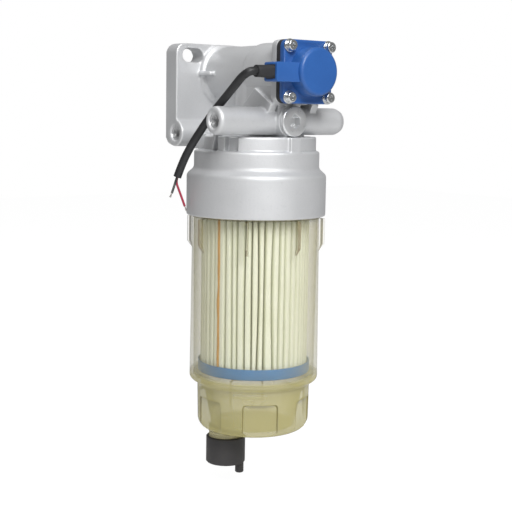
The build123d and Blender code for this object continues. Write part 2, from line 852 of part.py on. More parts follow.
with BuildPart() as motor_brushes:
    with BuildSketch(facing_pump(brush_front + brush_plate_gap - brush_play)):
        with PolarLocations(brush_start + brush_length / 2, 2, start_angle=90):
            Rectangle(brush_length, brush_width)
    extrude(amount=-brush_width)
save(motor_brushes.part, "motor_brushes")

with BuildPart() as motor_bushes:
    for start in (bush_seat + running_gap, rear_bush):
        with BuildSketch(facing_pump(start)):
            Circle(bush_radius)
            Circle(shaft_radius + running_gap, mode=Mode.SUBTRACT)
        extrude(amount=bush_length)
save(motor_bushes.part, "motor_bushes")

# Pump stage: seal plate, lip seal, impeller and volute
with BuildPart() as pump_plate:
    with BuildSketch(facing_pump(pump_plate_back)):
        Circle(motor_case_radius)
        Circle(bush_radius + rotor_clearance, mode=Mode.SUBTRACT)
    extrude(amount=pump_plate_thickness)
    with BuildSketch(facing_pump(pump_plate_back)):
        Circle(seal_radius + running_gap)
    extrude(amount=seal_thickness, mode=Mode.SUBTRACT)
    with BuildSketch(facing_pump(pump_plate_back)):
        with Locations((0, -(impeller_radius + seal_radius) / 2)):
            Circle(pump_port_radius)
    extrude(amount=pump_plate_thickness, mode=Mode.SUBTRACT)
save(pump_plate.part, "pump_plate")

with BuildPart() as shaft_seal:
    with BuildSketch(facing_pump(pump_plate_back + running_gap)):
        Circle(seal_radius)
        Circle(shaft_radius + running_gap, mode=Mode.SUBTRACT)
    extrude(amount=seal_thickness - 2 * running_gap)
save(shaft_seal.part, "shaft_seal")

impeller_front = pump_plate_back - impeller_play
vane_pitch = 2 * pi * impeller_radius / impeller_vanes
with BuildPart() as impeller:
    with BuildSketch(facing_pump(impeller_front)):
        Circle(impeller_radius)
        with PolarLocations(impeller_radius, impeller_vanes):
            Rectangle(2 * vane_pocket_depth, vane_pitch - vane_thickness - 1, mode=Mode.SUBTRACT)
        Circle(shaft_radius + running_gap, mode=Mode.SUBTRACT)
    extrude(amount=-impeller_thickness)
save(impeller.part, "impeller")

with BuildPart() as pump_volute:
    with BuildSketch(facing_pump(volute_back)):
        Circle(motor_case_radius)
    extrude(amount=pump_plate_back - volute_back)
    with BuildSketch(facing_pump(volute_back + volute_end_wall)):
        Circle(impeller_radius + rotor_clearance)
    extrude(amount=impeller_thickness + 2 * impeller_play, mode=Mode.SUBTRACT)
    with BuildSketch(facing_pump(volute_back)):
        Circle(shaft_radius + rotor_clearance)
        with Locations((0, impeller_radius - vane_pocket_depth)):
            Circle(pump_port_radius)
    extrude(amount=volute_end_wall, mode=Mode.SUBTRACT)
save(pump_volute.part, "pump_volute")

# Nipple that the element hangs on
nipple_foot = -roof_thickness - nipple_length
with BuildPart() as element_nipple:
    with BuildSketch(level(nipple_foot)):
        Circle(nipple_radius)
    extrude(amount=nipple_length)
    chamfer(element_nipple.edges().filter_by(GeomType.CIRCLE).sort_by(Axis.Z)[0], nipple_chamfer)
    with BuildSketch(level(-roof_thickness)):
        Circle(nipple_thread_radius)
    extrude(amount=roof_thickness + nipple_thread_proud)
    with BuildSketch(level(nipple_foot)):
        Circle(nipple_bore)
    extrude(amount=nipple_length + roof_thickness + nipple_thread_proud, mode=Mode.SUBTRACT)
save(element_nipple.part, "element_nipple")

# Filter element
media_foot = element_bottom + cap_floor
media_top = element_top - top_cap_floor
with BuildPart() as element_media:
    folds = 2 * pleat_count
    with BuildSketch(level(media_foot)):
        for outer, inner, mode in (
            (pleat_outer, pleat_inner, Mode.ADD),
            (pleat_outer - pleat_shift, pleat_inner - pleat_shift, Mode.SUBTRACT),
        ):
            corners = []
            for fold in range(folds):
                turn = pi * fold / pleat_count
                radius = outer if fold % 2 == 0 else inner
                corners.append((radius * cos(turn), radius * sin(turn)))
            Polygon(*corners, align=None, mode=mode)
    extrude(amount=media_top - media_foot)
save(element_media.part, "element_media")

with BuildPart() as element_bottom_cap:
    with BuildSketch(level(element_bottom)):
        Circle(cap_radius)
    extrude(amount=cap_lip_height)
    fillet(element_bottom_cap.edges().filter_by(GeomType.CIRCLE).sort_by(Axis.Z)[0], cap_round)
    with BuildSketch(level(media_foot)):
        Circle(cap_radius - cap_lip)
    extrude(amount=cap_lip_height, mode=Mode.SUBTRACT)
save(element_bottom_cap.part, "element_bottom_cap")

core_outer = pleat_inner - pleat_shift - seat_gap
with BuildPart() as element_top_cap:
    with BuildSketch(level(element_top - top_cap_thickness)):
        Circle(cap_radius)
        Circle(top_seal_radius, mode=Mode.SUBTRACT)
    extrude(amount=top_cap_thickness)
    with BuildSketch(level(element_top - top_cap_thickness)):
        Circle(cap_radius - cap_lip)
        Circle(core_outer - core_wall - 1, mode=Mode.SUBTRACT)
    extrude(amount=media_top - element_top + top_cap_thickness, mode=Mode.SUBTRACT)
save(element_top_cap.part, "element_top_cap")

core_height = media_top - media_foot
with BuildPart() as element_core:
    with BuildSketch(level(media_foot)):
        Circle(core_outer)
        Circle(core_outer - core_wall, mode=Mode.SUBTRACT)
    extrude(amount=core_height)
    row_pitch = core_height / core_rows
    for row in range(core_rows):
        middle = media_foot + (row + 0.5) * row_pitch
        with BuildSketch(facing_front(0, middle)):
            Rectangle(core_slot_width, core_slot_height)
        extrude(amount=core_outer + 1, both=True, mode=Mode.SUBTRACT)
        with BuildSketch(facing_left(0, 0, middle)):
            Rectangle(core_slot_width, core_slot_height)
        extrude(amount=core_outer + 1, both=True, mode=Mode.SUBTRACT)
save(element_core.part, "element_core")

# Glue bead that closes the pleat pack, lying in the valley between two folds
with BuildPart() as element_seam:
    with BuildSketch(level(element_bottom + cap_lip_height + seat_gap)):
        tip_turns = [2 * pi * (seam_pleat + step) / pleat_count for step in (0, 1)]
        valley_turn = sum(tip_turns) / 2
        valley = Vector(pleat_inner * cos(valley_turn), pleat_inner * sin(valley_turn))
        tips = [Vector(pleat_outer * cos(turn), pleat_outer * sin(turn)) for turn in tip_turns]
        bead = [tip + (valley - tip) * seam_lift for tip in tips]
        bead += [tip + (valley - tip) * seam_depth for tip in reversed(tips)]
        Polygon(*[(corner.X, corner.Y) for corner in bead], align=None)
    extrude(amount=media_top - element_bottom - cap_lip_height - top_cap_thickness)
save(element_seam.part, "element_seam")

with BuildPart() as element_seal:
    with BuildSketch(level(element_top - top_cap_thickness)):
        Circle(top_seal_radius - running_gap)
        Circle(nipple_radius + running_gap, mode=Mode.SUBTRACT)
    extrude(amount=top_seal_thickness)
save(element_seal.part, "element_seal")

# Bowl: threaded neck, drafted wall, shoulder, sump with wrench flats and the drain's neck
neck_radius = bowl_neck_inner + bowl_wall
bowl_lip = -skirt_length - seat_gap
inner_lip = bowl_radius - bowl_wall
inner_foot = bowl_foot_radius - bowl_wall
sump_top_inner = sump_radius - bowl_wall
inner_floor = bowl_bottom + bowl_floor
with BuildPart() as bowl:
    with BuildSketch(bowl_section):
        with BuildLine():
            outside = FilletPolyline(
                (neck_radius, bowl_rim),
                (neck_radius, bowl_lip),
                (bowl_radius, bowl_lip),
                (bowl_foot_radius, shoulder_rise),
                (sump_radius, shoulder_rise - shoulder_step),
                (sump_foot_radius, bowl_bottom),
                (0, bowl_bottom),
                radius=[neck_round, lip_round, shoulder_round, shoulder_round, sump_round],
            )
            inside = FilletPolyline(
                (0, inner_floor),
                (sump_inner, inner_floor),
                (sump_inner, flat_top + bowl_wall),
                (sump_top_inner, flat_top + 2 * bowl_wall),
                (sump_top_inner, shoulder_rise + bowl_wall - shoulder_step),
                (inner_foot, shoulder_rise + bowl_wall),
                (inner_lip, bowl_lip - bowl_wall),
                (bowl_neck_inner, bowl_lip),
                (bowl_neck_inner, bowl_rim),
                radius=[
                    sump_round - bowl_wall,
                    inner_round,
                    inner_round,
                    shoulder_round,
                    inner_shoulder_round,
                    inner_round,
                    inner_round,
                ],
            )
            Line(outside @ 1, inside @ 0)
            Line(inside @ 1, outside @ 0)
        make_face()
    revolve(axis=bowl_axis)
    # Neck for the drain
    with BuildSketch(level(bowl_bottom)):
        with Locations((drain_x, -drain_reach)):
            Circle(drain_neck_radius)
    extrude(amount=drain_neck_foot - bowl_bottom)
    # Grip ribs below the skirt, running out to a point
    for turn in range(rib_count):
        angle = 2 * pi * turn / rib_count
        rib_plane = Plane(
            origin=place(0, 0, 0), x_dir=(cos(angle), sin(angle), 0), z_dir=(sin(angle), -cos(angle), 0)
        )
        with BuildSketch(rib_plane):
            Polygon(
                (bowl_radius - rib_bite, bowl_lip - rib_drop),
                (rib_radius, bowl_lip - rib_drop),
                (rib_radius, rib_foot),
                (bowl_radius - rib_bite, rib_foot - rib_taper),
                align=None,
            )
        extrude(amount=rib_width / 2, both=True)
    # Wrench flats round the sump
    flat_height = flat_top - bowl_bottom + 2 * flat_corner
    for turn in range(flat_count):
        angle = 2 * pi * turn / flat_count
        flat_plane = Plane(
            origin=place(flat_distance * cos(angle), -flat_distance * sin(angle), flat_top - flat_height / 2),
            x_dir=(-sin(angle), cos(angle), 0),
            z_dir=(cos(angle), sin(angle), 0),
        )
        with BuildSketch(flat_plane):
            RectangleRounded(flat_width, flat_height, flat_corner)
        extrude(amount=sump_radius, mode=Mode.SUBTRACT)
    with BuildSketch(level(inner_floor)):
        with Locations((drain_x, -drain_reach)):
            Circle(drain_neck_bore)
    extrude(amount=drain_neck_foot - inner_floor, mode=Mode.SUBTRACT)
save(bowl.part, "bowl")

# Seal ring between the bowl's rim and the head
with BuildPart() as bowl_ring:
    with BuildSketch(level(bowl_rim + running_gap)):
        Circle(neck_radius)
        Circle(neck_radius - bowl_ring_section, mode=Mode.SUBTRACT)
    extrude(amount=thread_depth - skirt_length - bowl_rim - 2 * running_gap)
save(bowl_ring.part, "bowl_ring")

# Drain knob: a screw cap on the bowl's neck, with its sealing stem and hose spout
knob_bore_floor = knob_bottom + knob_floor
ring_groove = stem_top - ring_depth - drain_ring_section
groove_top = ring_groove + drain_ring_section + 2 * groove_play
groove_radius = stem_radius - drain_ring_section + groove_rise
with BuildPart() as drain_knob:
    with BuildSketch(drain_section):
        with BuildLine():
            Polyline(
                (0, knob_bottom),
                (knob_radius - knob_chamfer, knob_bottom),
                (knob_radius, knob_bottom + knob_chamfer),
                (knob_radius, knob_top - knob_rim_chamfer),
                (knob_radius - knob_rim_chamfer, knob_top),
                (drain_neck_radius + thread_gap, knob_top),
                (drain_neck_radius + thread_gap, knob_bore_floor),
                (stem_radius, knob_bore_floor),
                (stem_radius, ring_groove),
                (groove_radius, ring_groove),
                (groove_radius, groove_top),
                (stem_radius, groove_top),
                (stem_radius, stem_top - stem_chamfer),
                (stem_radius - stem_chamfer, stem_top),
                (0, stem_top),
                (0, knob_bottom),
            )
        make_face()
    revolve(axis=drain_axis)
    spout_turn = radians(spout_angle)
    spout_x = drain_x + spout_offset * cos(spout_turn)
    spout_y = -drain_reach + spout_offset * sin(spout_turn)
    with BuildSketch(level(knob_bottom + 1)):
        with Locations((spout_x, spout_y)):
            Circle(spout_radius)
    extrude(amount=spout_foot - knob_bottom - 1)
    chamfer(drain_knob.edges().filter_by(GeomType.CIRCLE).sort_by(Axis.Z)[0], spout_chamfer)
    with BuildSketch(level(spout_foot)):
        with Locations((spout_x, spout_y)):
            Circle(spout_bore)
    extrude(amount=knob_bore_floor - spout_foot, mode=Mode.SUBTRACT)
save(drain_knob.part, "drain_knob")

with BuildPart() as drain_ring:
    with BuildSketch(Plane(origin=place(drain_x, drain_reach, ring_groove + groove_play))):
        Circle(drain_neck_bore - running_gap)
        Circle(groove_radius + running_gap, mode=Mode.SUBTRACT)
    extrude(amount=drain_ring_section)
save(drain_ring.part, "drain_ring")

# Grommet of the pump's lead: a block in the arm's socket and a short boot outside it
with BuildPart() as cable_grommet:
    with BuildSketch(facing_left(arm_tip, socket_middle, arm_rise)):
        Rectangle(
            arm_depth - 2 * (socket_wall + running_gap),
            arm_height - 2 * (socket_wall + running_gap),
        )
    extrude(amount=-(socket_depth - seat_gap))
    with BuildSketch(facing_left(arm_tip, socket_middle, arm_rise)) as boot_root:
        RectangleRounded(arm_depth - 2 * socket_wall - 1, arm_height - 2 * socket_wall - 1, boot_corner)
    with BuildSketch(facing_left(arm_tip - boot_length, socket_middle, arm_rise)) as boot_tip:
        Circle(boot_end_radius)
    loft(sections=[boot_root.sketch, boot_tip.sketch])
save(cable_grommet.part, "cable_grommet")

# Lead: straight runs joined by tangent arcs, each arc as large as its two runs allow
cable_start = (arm_tip - boot_length, socket_middle, arm_rise)
cable_route = [
    cable_start,
    (-53.4, socket_middle, arm_rise),
    (-56.3, 58.8, 60.5),
    (-57.2, 53.5, 57.4),
    (-57.8, 46.5, 51.4),
    (-54.9, 31.0, 43.0),
    (-53.8, 13.5, 31.5),
    (-57.0, 1.5, 17.5),
    (-62.0, -6.0, 4.0),
    (-66.0, -12.0, -9.5),
    (-69.0, -15.0, -21.5),
]


def bend_radii(route):
    """The radius of each corner's arc: a share of the shorter run over the tangent of half the turn."""
    corners = [Vector(*point) for point in route]
    radii = []
    for before, corner, after in zip(corners, corners[1:], corners[2:]):
        run_in = corner - before
        run_out = after - corner
        half_turn = radians(run_in.get_angle(run_out)) / 2
        radii.append(bend_share * min(run_in.length, run_out.length) / tan(half_turn))
    return radii


cable_points = [place(*point) for point in cable_route]
cable_radii = bend_radii(cable_points)
print("cable radii", [round(radius, 1) for radius in cable_radii])
with BuildPart() as cable:
    with BuildLine():
        route = FilletPolyline(*cable_points, radius=cable_radii)
    with BuildSketch(Plane(origin=route @ 0, z_dir=route % 0)):
        Circle(cable_diameter / 2)
    sweep()
cable_length = route.length
cable_volume = pi * cable_diameter**2 / 4 * cable_length
print("cable length", round(cable_length, 1), "volume", round(cable.part.volume), round(cable_volume))
save(cable.part, "cable")

# Bare tails of the two cores at the lead's cut end
tail_start = cable_points[-1]
tail_along = (cable_points[-1] - cable_points[-2]).normalized()
tail_side = Vector(tail_along.Y, -tail_along.X, 0).normalized()
tails = {
    "wire_red": (0.8, [Vector(3.0, 2.0, -11.0), Vector(9.0, 2.6, -24.0), Vector(10.85, 2.78, -28.0)]),
    "wire_black": (-0.8, [Vector(-1.5, 1.0, -6.0), Vector(-5.5, -1.0, -12.5), Vector(-7.8, -2.0, -15.8)]),
}
for name, (offset, steps) in tails.items():
    foot = tail_start + tail_side * (offset * (wire_diameter / 2 + tail_gap))
    with BuildPart() as wire:
        with BuildLine():
            lead_out = foot + tail_along * tail_run
            corners = (foot, lead_out, foot + steps[0], foot + steps[1])
            tail = FilletPolyline(*corners, radius=tail_bend * wire_diameter)
        with BuildSketch(Plane(origin=tail @ 0, z_dir=tail % 0)):
            Circle(wire_diameter / 2)
        sweep()
    save(wire.part, name)
    with BuildPart() as strands:
        with BuildLine():
            bare = Line(foot + steps[1], foot + steps[2])
        with BuildSketch(Plane(origin=bare @ 0, z_dir=bare % 0)):
            Circle(core_diameter / 2)
        sweep()
    save(strands.part, f"{name}_strands")
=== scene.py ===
"""Fuel water separator: the dressed model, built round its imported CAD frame.

Shapes are worked out in millimetres from the point where the bowl's axis meets the collar's top, with +Z up
and +Y towards the mounting plate. They are moved into the frame, in metres, when a mesh is made.
"""

import json
import logging
import math
from dataclasses import dataclass
from enum import Enum

import bmesh
import bpy
import numpy as np
from mathutils import Matrix, Vector


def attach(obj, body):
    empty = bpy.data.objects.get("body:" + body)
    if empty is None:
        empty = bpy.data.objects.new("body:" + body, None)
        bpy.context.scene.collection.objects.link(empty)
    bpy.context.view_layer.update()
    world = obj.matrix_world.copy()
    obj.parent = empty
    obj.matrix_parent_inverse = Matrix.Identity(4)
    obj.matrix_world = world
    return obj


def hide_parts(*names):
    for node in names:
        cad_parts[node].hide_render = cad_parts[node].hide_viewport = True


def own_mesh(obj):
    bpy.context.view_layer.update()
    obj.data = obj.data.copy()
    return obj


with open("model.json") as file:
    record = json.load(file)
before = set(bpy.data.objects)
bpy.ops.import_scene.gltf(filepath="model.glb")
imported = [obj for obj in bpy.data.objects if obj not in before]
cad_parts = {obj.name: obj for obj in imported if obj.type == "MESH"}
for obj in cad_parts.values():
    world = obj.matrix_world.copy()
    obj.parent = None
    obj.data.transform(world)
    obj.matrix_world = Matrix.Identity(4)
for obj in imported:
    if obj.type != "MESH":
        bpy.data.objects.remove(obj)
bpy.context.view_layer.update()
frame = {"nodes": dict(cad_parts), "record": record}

LOG = logging.getLogger("separator")
MM = 0.001
# How near two points of a CAD mesh are when they are one point, in metres.
MERGE = 2e-6
# In mm: from the plate's back to the bowl's axis, and from the collar's top up to the mounting slots.
BOWL_REACH = 69.0
SLOT_RISE = 78.3
COLLAR_CENTRE = np.array([0.0, -BOWL_REACH, -SLOT_RISE])
Colour = tuple[float, float, float]
Place = tuple[float, float, float]


def placed(points: np.ndarray) -> np.ndarray:
    """Moves points from the collar's frame, in mm, into the row's frame, in metres.

    Args:
        points: Any array whose last axis is x, y, z.

    Returns:
        The same array in metres.
    """
    return (np.asarray(points, float) + COLLAR_CENTRE) * MM


class Signal:
    """A shader value that Python's operators can be used on."""

    def __init__(self, bench: "NodeBench", socket: bpy.types.NodeSocket) -> None:
        """Wraps an output socket of the bench's tree."""
        self.bench = bench
        self.socket = socket

    def __add__(self, other: "Signal | float") -> "Signal":
        """Sum of two values."""
        return self.bench.maths("ADD", self, other)

    def __radd__(self, other: float) -> "Signal":
        """Sum with a number on the left."""
        return self.bench.maths("ADD", other, self)

    def __sub__(self, other: "Signal | float") -> "Signal":
        """Difference of two values."""
        return self.bench.maths("SUBTRACT", self, other)

    def __rsub__(self, other: float) -> "Signal":
        """Number less this value."""
        return self.bench.maths("SUBTRACT", other, self)

    def __mul__(self, other: "Signal | float") -> "Signal":
        """Product of two values."""
        return self.bench.maths("MULTIPLY", self, other)

    def __rmul__(self, other: float) -> "Signal":
        """Product with a number on the left."""
        return self.bench.maths("MULTIPLY", other, self)

    def __pow__(self, other: "Signal | float") -> "Signal":
        """This value raised to a power."""
        return self.bench.maths("POWER", self, other)

    def __rpow__(self, other: float) -> "Signal":
        """Number raised to this value."""
        return self.bench.maths("POWER", other, self)

    def between(self, low: float, high: float) -> "Signal":
        """Rises smoothly from 0 at low to 1 at high.

        Args:
            low: Value that gives 0.
            high: Value that gives 1.

        Returns:
            The smoothed step.
        """
        made = self.bench.node(
            "ShaderNodeMapRange",
            {"interpolation_type": "SMOOTHSTEP"},
            {"Value": self, "From Min": low, "From Max": high},
        )
        return Signal(self.bench, made.outputs[0])


class NodeBench:
    """Adds nodes to one tree."""

    def __init__(self, tree: bpy.types.NodeTree) -> None:
        """Empties the tree."""
        self.tree = tree
        tree.nodes.clear()

    @staticmethod
    def pick(sockets: bpy.types.bpy_prop_collection, key: "str | int") -> bpy.types.NodeSocket:
        """Finds a socket by number, identifier or name."""
        if isinstance(key, int):
            return sockets[key]
        for socket in sockets:
            if socket.identifier == key:
                return socket
        return sockets[key]

    def node(self, kind: str, settings: dict | None = None, values: dict | None = None) -> bpy.types.Node:
        """Adds a node.

        Args:
            kind: The node's type.
            settings: Properties, which are set first.
            values: Numbers, colours, signals or sockets for its inputs.

        Returns:
            The new node.
        """
        made = self.tree.nodes.new(kind)
        for key, value in (settings or {}).items():
            setattr(made, key, value)
        for key, value in (values or {}).items():
            socket = self.pick(made.inputs, key)
            if isinstance(value, Signal):
                self.tree.links.new(value.socket, socket)
            elif isinstance(value, bpy.types.NodeSocket):
                self.tree.links.new(value, socket)
            elif isinstance(value, tuple) and len(value) == 3 and len(socket.default_value) == 4:
                socket.default_value = (*value, 1.0)
            else:
                socket.default_value = value
        return made

    def maths(self, operation: str, left: "Signal | float", right: "Signal | float" = 0.0) -> Signal:
        """One Math node."""
        made = self.node("ShaderNodeMath", {"operation": operation}, {0: left, 1: right})
        return Signal(self, made.outputs[0])

    def read(
        self, kind: str, output: str, settings: dict | None = None, values: dict | None = None
    ) -> Signal:
        """Adds a node and returns its output of that name."""
        return Signal(self, self.node(kind, settings, values).outputs[output])

    def seen_directly(self) -> Signal:
        """1 for what the camera sees, straight or through clear plastic, and 0 for light on the part."""
        rays = self.node("ShaderNodeLightPath").outputs
        camera, through = (Signal(self, rays[name]) for name in ("Is Camera Ray", "Is Transmission Ray"))
        return self.maths("MAXIMUM", camera, through)


class ShaderBench(NodeBench):
    """Builds one node material."""

    def __init__(self, name: str) -> None:
        """Starts an empty material of that name."""
        self.material = bpy.data.materials.new(name)
        self.material.use_nodes = True
        super().__init__(self.material.node_tree)
        self.place = self.node("ShaderNodeTexCoord").outputs["Object"]

    def blend(self, share: "Signal | float", low: "Signal | Colour", high: "Signal | Colour") -> Signal:
        """Mixes two colours by a share from 0 to 1."""
        made = self.node(
            "ShaderNodeMix",
            {"data_type": "RGBA", "clamp_factor": True},
            {"Factor_Float": share, "A_Color": low, "B_Color": high},
        )
        return Signal(self, self.pick(made.outputs, "Result_Color"))

    def stretched(self, scale: tuple[float, float, float]) -> bpy.types.NodeSocket:
        """Object coordinates scaled along each axis."""
        made = self.node("ShaderNodeMapping", None, {"Vector": self.place, "Scale": Vector(scale)})
        return made.outputs[0]

    def noise(self, scale: float, detail: float = 4.0, along: bpy.types.NodeSocket | None = None) -> Signal:
        """Fractal noise of about 0 to 1.

        Args:
            scale: Patches per metre.
            detail: Octaves.
            along: Coordinates other than the plain object ones.

        Returns:
            The noise value.
        """
        made = self.node(
            "ShaderNodeTexNoise", None, {"Vector": along or self.place, "Scale": scale, "Detail": detail}
        )
        return Signal(self, made.outputs[0])

    def height(self) -> Signal:
        """The Z coordinate, in mm above the collar's top."""
        made = self.node("ShaderNodeSeparateXYZ", None, {"Vector": self.place})
        return Signal(self, made.outputs[2]) * (1 / MM) + SLOT_RISE

    def bump(self, relief: Signal, depth: float, strength: float = 1.0) -> bpy.types.NodeSocket:
        """A normal bent by a relief.

        Args:
            relief: Height from 0 to 1.
            depth: What 1 stands for, in mm.
            strength: Share of the bump that is used.

        Returns:
            The normal output.
        """
        made = self.node(
            "ShaderNodeBump", None, {"Height": relief, "Distance": depth * MM, "Strength": strength}
        )
        return made.outputs[0]

    def finish(self, values: dict) -> bpy.types.Material:
        """Adds the surface shader and the output, and returns the material."""
        shader = self.node("ShaderNodeBsdfPrincipled", None, values)
        self.node("ShaderNodeOutputMaterial", None, {"Surface": shader.outputs[0]})
        return self.material


class Grain(Enum):
    """How a finish's fine texture runs."""

    SPECKLED = (1.0, 1.0, 1.0)
    LAYERED = (0.02, 1.0, 0.02)


@dataclass(frozen=True)
class WorkedFinish:
    """A metal, paint, rubber or plastic: two tones, a fine grain and a roughness that varies with it.

    Attributes:
        slot: Material slot in the record.
        tone: Main colour.
        shade: Colour of its darker patches.
        roughness: Lowest and highest roughness.
        metallic: Share of metal.
        patches: Tone patches per metre.
        grain: Grain marks per metre.
        depth: Grain's depth in mm.
        run: Direction of the grain.
        coat: Share of clear coat.
    """

    slot: str
    tone: Colour
    shade: Colour
    roughness: tuple[float, float]
    metallic: float = 0.0
    patches: float = 60.0
    grain: float = 1800.0
    depth: float = 0.03
    run: Grain = Grain.SPECKLED
    coat: float = 0.0

    def material(self) -> bpy.types.Material:
        """Builds the node material."""
        bench = ShaderBench(self.slot + "_finish")
        patches = bench.noise(self.patches, 5.0)
        grain = bench.noise(self.grain, 3.0, bench.stretched(self.run.value))
        mixed = (patches * 0.65 + grain * 0.35).between(0.3, 0.7)
        low, high = self.roughness
        return bench.finish(
            {
                "Base Color": bench.blend(mixed, self.shade, self.tone),
                "Roughness": (patches * 0.5 + grain * 0.5) * (high - low) + low,
                "Metallic": self.metallic,
                "Coat Weight": self.coat,
                "Normal": bench.bump(grain, self.depth),
            }
        )


@dataclass(frozen=True)
class CastFinish:
    """Sand-cast aluminium: a fine skin, brighter rubbed edges, and hollows darkened as painted shade.

    Attributes:
        slot: Material slot in the record.
        skin: Main colour.
        mottled: Second tone of the skin.
        pits_and_shade: Colour of pits, and of the painted shade in hollows.
        rubbed: Colour of worn edges.
        metallic: Share of metal.
        roughness: Lowest roughness of the skin.
        wear: How far edges take the rubbed colour.
        hollow_shade: How far hollows take that colour as painted shade.
        relief: Depth of the skin's relief, in mm.
    """

    slot: str = "cast_aluminium"
    skin: Colour = (0.640, 0.646, 0.656)
    mottled: Colour = (0.600, 0.607, 0.618)
    pits_and_shade: Colour = (0.400, 0.408, 0.422)
    rubbed: Colour = (0.820, 0.825, 0.830)
    metallic: float = 0.55
    roughness: float = 0.50
    wear: float = 0.60
    hollow_shade: float = 0.85
    relief: float = 0.10

    def material(self) -> bpy.types.Material:
        """Builds the node material."""
        bench = ShaderBench(self.slot + "_finish")
        patches = bench.noise(38.0, 6.0)
        sand = bench.noise(1500.0, 3.0)
        pits = bench.noise(420.0, 2.0).between(0.60, 0.72)
        point = bench.read("ShaderNodeNewGeometry", "Pointiness")
        edge = point.between(0.505, 0.560)
        # Hollows found by the mesh's pointiness take painted shade; the noise pits are the skin's own marks.
        hollow = 1.0 - point.between(0.430, 0.495)
        skin = bench.blend((patches * 0.6 + sand * 0.4).between(0.35, 0.65), self.mottled, self.skin)
        worn = bench.blend(edge * self.wear, skin, self.rubbed)
        return bench.finish(
            {
                "Base Color": bench.blend(hollow * self.hollow_shade + pits * 0.10, worn, self.pits_and_shade),
                "Roughness": self.roughness + patches * 0.08 - edge * 0.08,
                "Metallic": self.metallic,
                "Normal": bench.bump(sand * 0.7 + patches * 0.5 - pits * 0.6, self.relief, 0.55),
            }
        )


@dataclass(frozen=True)
class ClearFinish:
    """Amber see-through plastic: pale where looked straight through, deeper at its edges and in the sump.

    Attributes:
        slot: Material slot in the record.
        pale: Colour of the thin wall.
        deep: Colour of the thick sump and of edges.
        shade_line: Colour of the painted shade along the flats' edges and the rim.
        ridge: Colour of the grip ribs, where the plastic is thickest.
        frosted: Colour of the drain's moulded neck.
        shoulder: Height of the shoulder, in mm above the collar's top.
        bottom: Height of the sump's bottom.
        fade: Height over which one zone passes into the next, in mm.
        wall_veil: Share of the wall that hides what is behind it, looked at straight.
        sump_veil: The same for the sump.
        edge_veil: What is added where the wall is seen edge on.
        line_veil: What is added along the painted shade lines.
        rib_veil: What is added on the ribs.
        neck_veil: What is added on the neck.
    """

    slot: str = "amber_plastic"
    pale: Colour = (0.660, 0.620, 0.430)
    deep: Colour = (0.600, 0.540, 0.210)
    shade_line: Colour = (0.150, 0.125, 0.035)
    ridge: Colour = (0.200, 0.110, 0.035)
    frosted: Colour = (0.700, 0.660, 0.450)
    shoulder: float = -185.5
    bottom: float = -234.0
    fade: float = 3.0
    wall_veil: float = 0.080
    sump_veil: float = 0.42
    edge_veil: float = 0.50
    line_veil: float = 0.50
    rib_veil: float = 0.45
    neck_veil: float = 0.40

    def material(self) -> bpy.types.Material:
        """Builds the node material."""
        bench = ShaderBench(self.slot + "_finish")
        flow = bench.noise(26.0, 3.0, bench.stretched((1.0, 1.0, 0.35)))
        rise = bench.height()
        thick = 1.0 - rise.between(self.shoulder - self.fade, self.shoulder + self.fade)
        neck = 1.0 - rise.between(self.bottom - self.fade, self.bottom)
        facing = bench.read("ShaderNodeLayerWeight", "Facing", None, {"Blend": 0.5})
        edge = facing**1.7
        mark = bench.read("ShaderNodeAttribute", "Fac", {"attribute_name": "mark"})
        # line picks out the marks for painted shade: the flats' edges, the skirt's shadow under the lip and
        # the line under the shoulder.
        line = mark.between(0.05, 0.45) * (1.0 - mark.between(0.60, 0.80))
        rib = mark.between(0.60, 0.95) * facing.between(0.08, 0.35)
        veil = self.wall_veil + thick * (self.sump_veil - self.wall_veil) + edge * self.edge_veil
        veil = veil + line * self.line_veil + rib * self.rib_veil + neck * self.neck_veil
        amber = bench.blend(thick * 0.80 + edge * 0.60 + flow * 0.10, self.pale, self.deep)
        moulded = bench.blend(neck * 0.85, amber, self.frosted)
        lined = bench.blend(line * 0.90, moulded, self.shade_line)
        return bench.finish(
            {
                "Base Color": bench.blend(rib * 0.85, lined, self.ridge),
                "Roughness": 0.06 + flow * 0.06 + neck * 0.45,
                "IOR": 1.55,
                "Specular IOR Level": 0.6,
                "Alpha": bench.maths("MINIMUM", veil + flow * 0.03, 0.94),
                "Normal": bench.bump(flow, 0.25, 0.35),
            }
        )


@dataclass(frozen=True)
class PaperFinish:
    """Resin-treated filter paper: cream, with fibres, and painted shade down in its folds.

    Attributes:
        slot: Material slot in the record.
        cream: Main colour.
        clouded: Its second tone.
        shaded: Colour of the painted shade down in the folds.
    """

    slot: str = "filter_paper"
    cream: Colour = (0.930, 0.945, 0.800)
    clouded: Colour = (0.86, 0.88, 0.71)
    shaded: Colour = (0.480, 0.520, 0.370)

    def material(self) -> bpy.types.Material:
        """Builds the node material."""
        bench = ShaderBench(self.slot + "_finish")
        fibres = bench.noise(2200.0, 4.0, bench.stretched((1.0, 1.0, 0.25)))
        clouds = bench.noise(45.0, 4.0)
        depth = bench.read("ShaderNodeAttribute", "Fac", {"attribute_name": "mark"})
        cream = bench.blend((clouds * 0.6 + fibres * 0.4).between(0.3, 0.7), self.clouded, self.cream)
        return bench.finish(
            {
                # Painted shade: darker towards the valleys of the folds and on the pack's inside.
                "Base Color": bench.blend(depth.between(0.0, 0.55), cream, self.shaded),
                "Roughness": 0.80 + fibres * 0.15,
                "Normal": bench.bump(fibres, 0.06, 0.6),
            }
        )


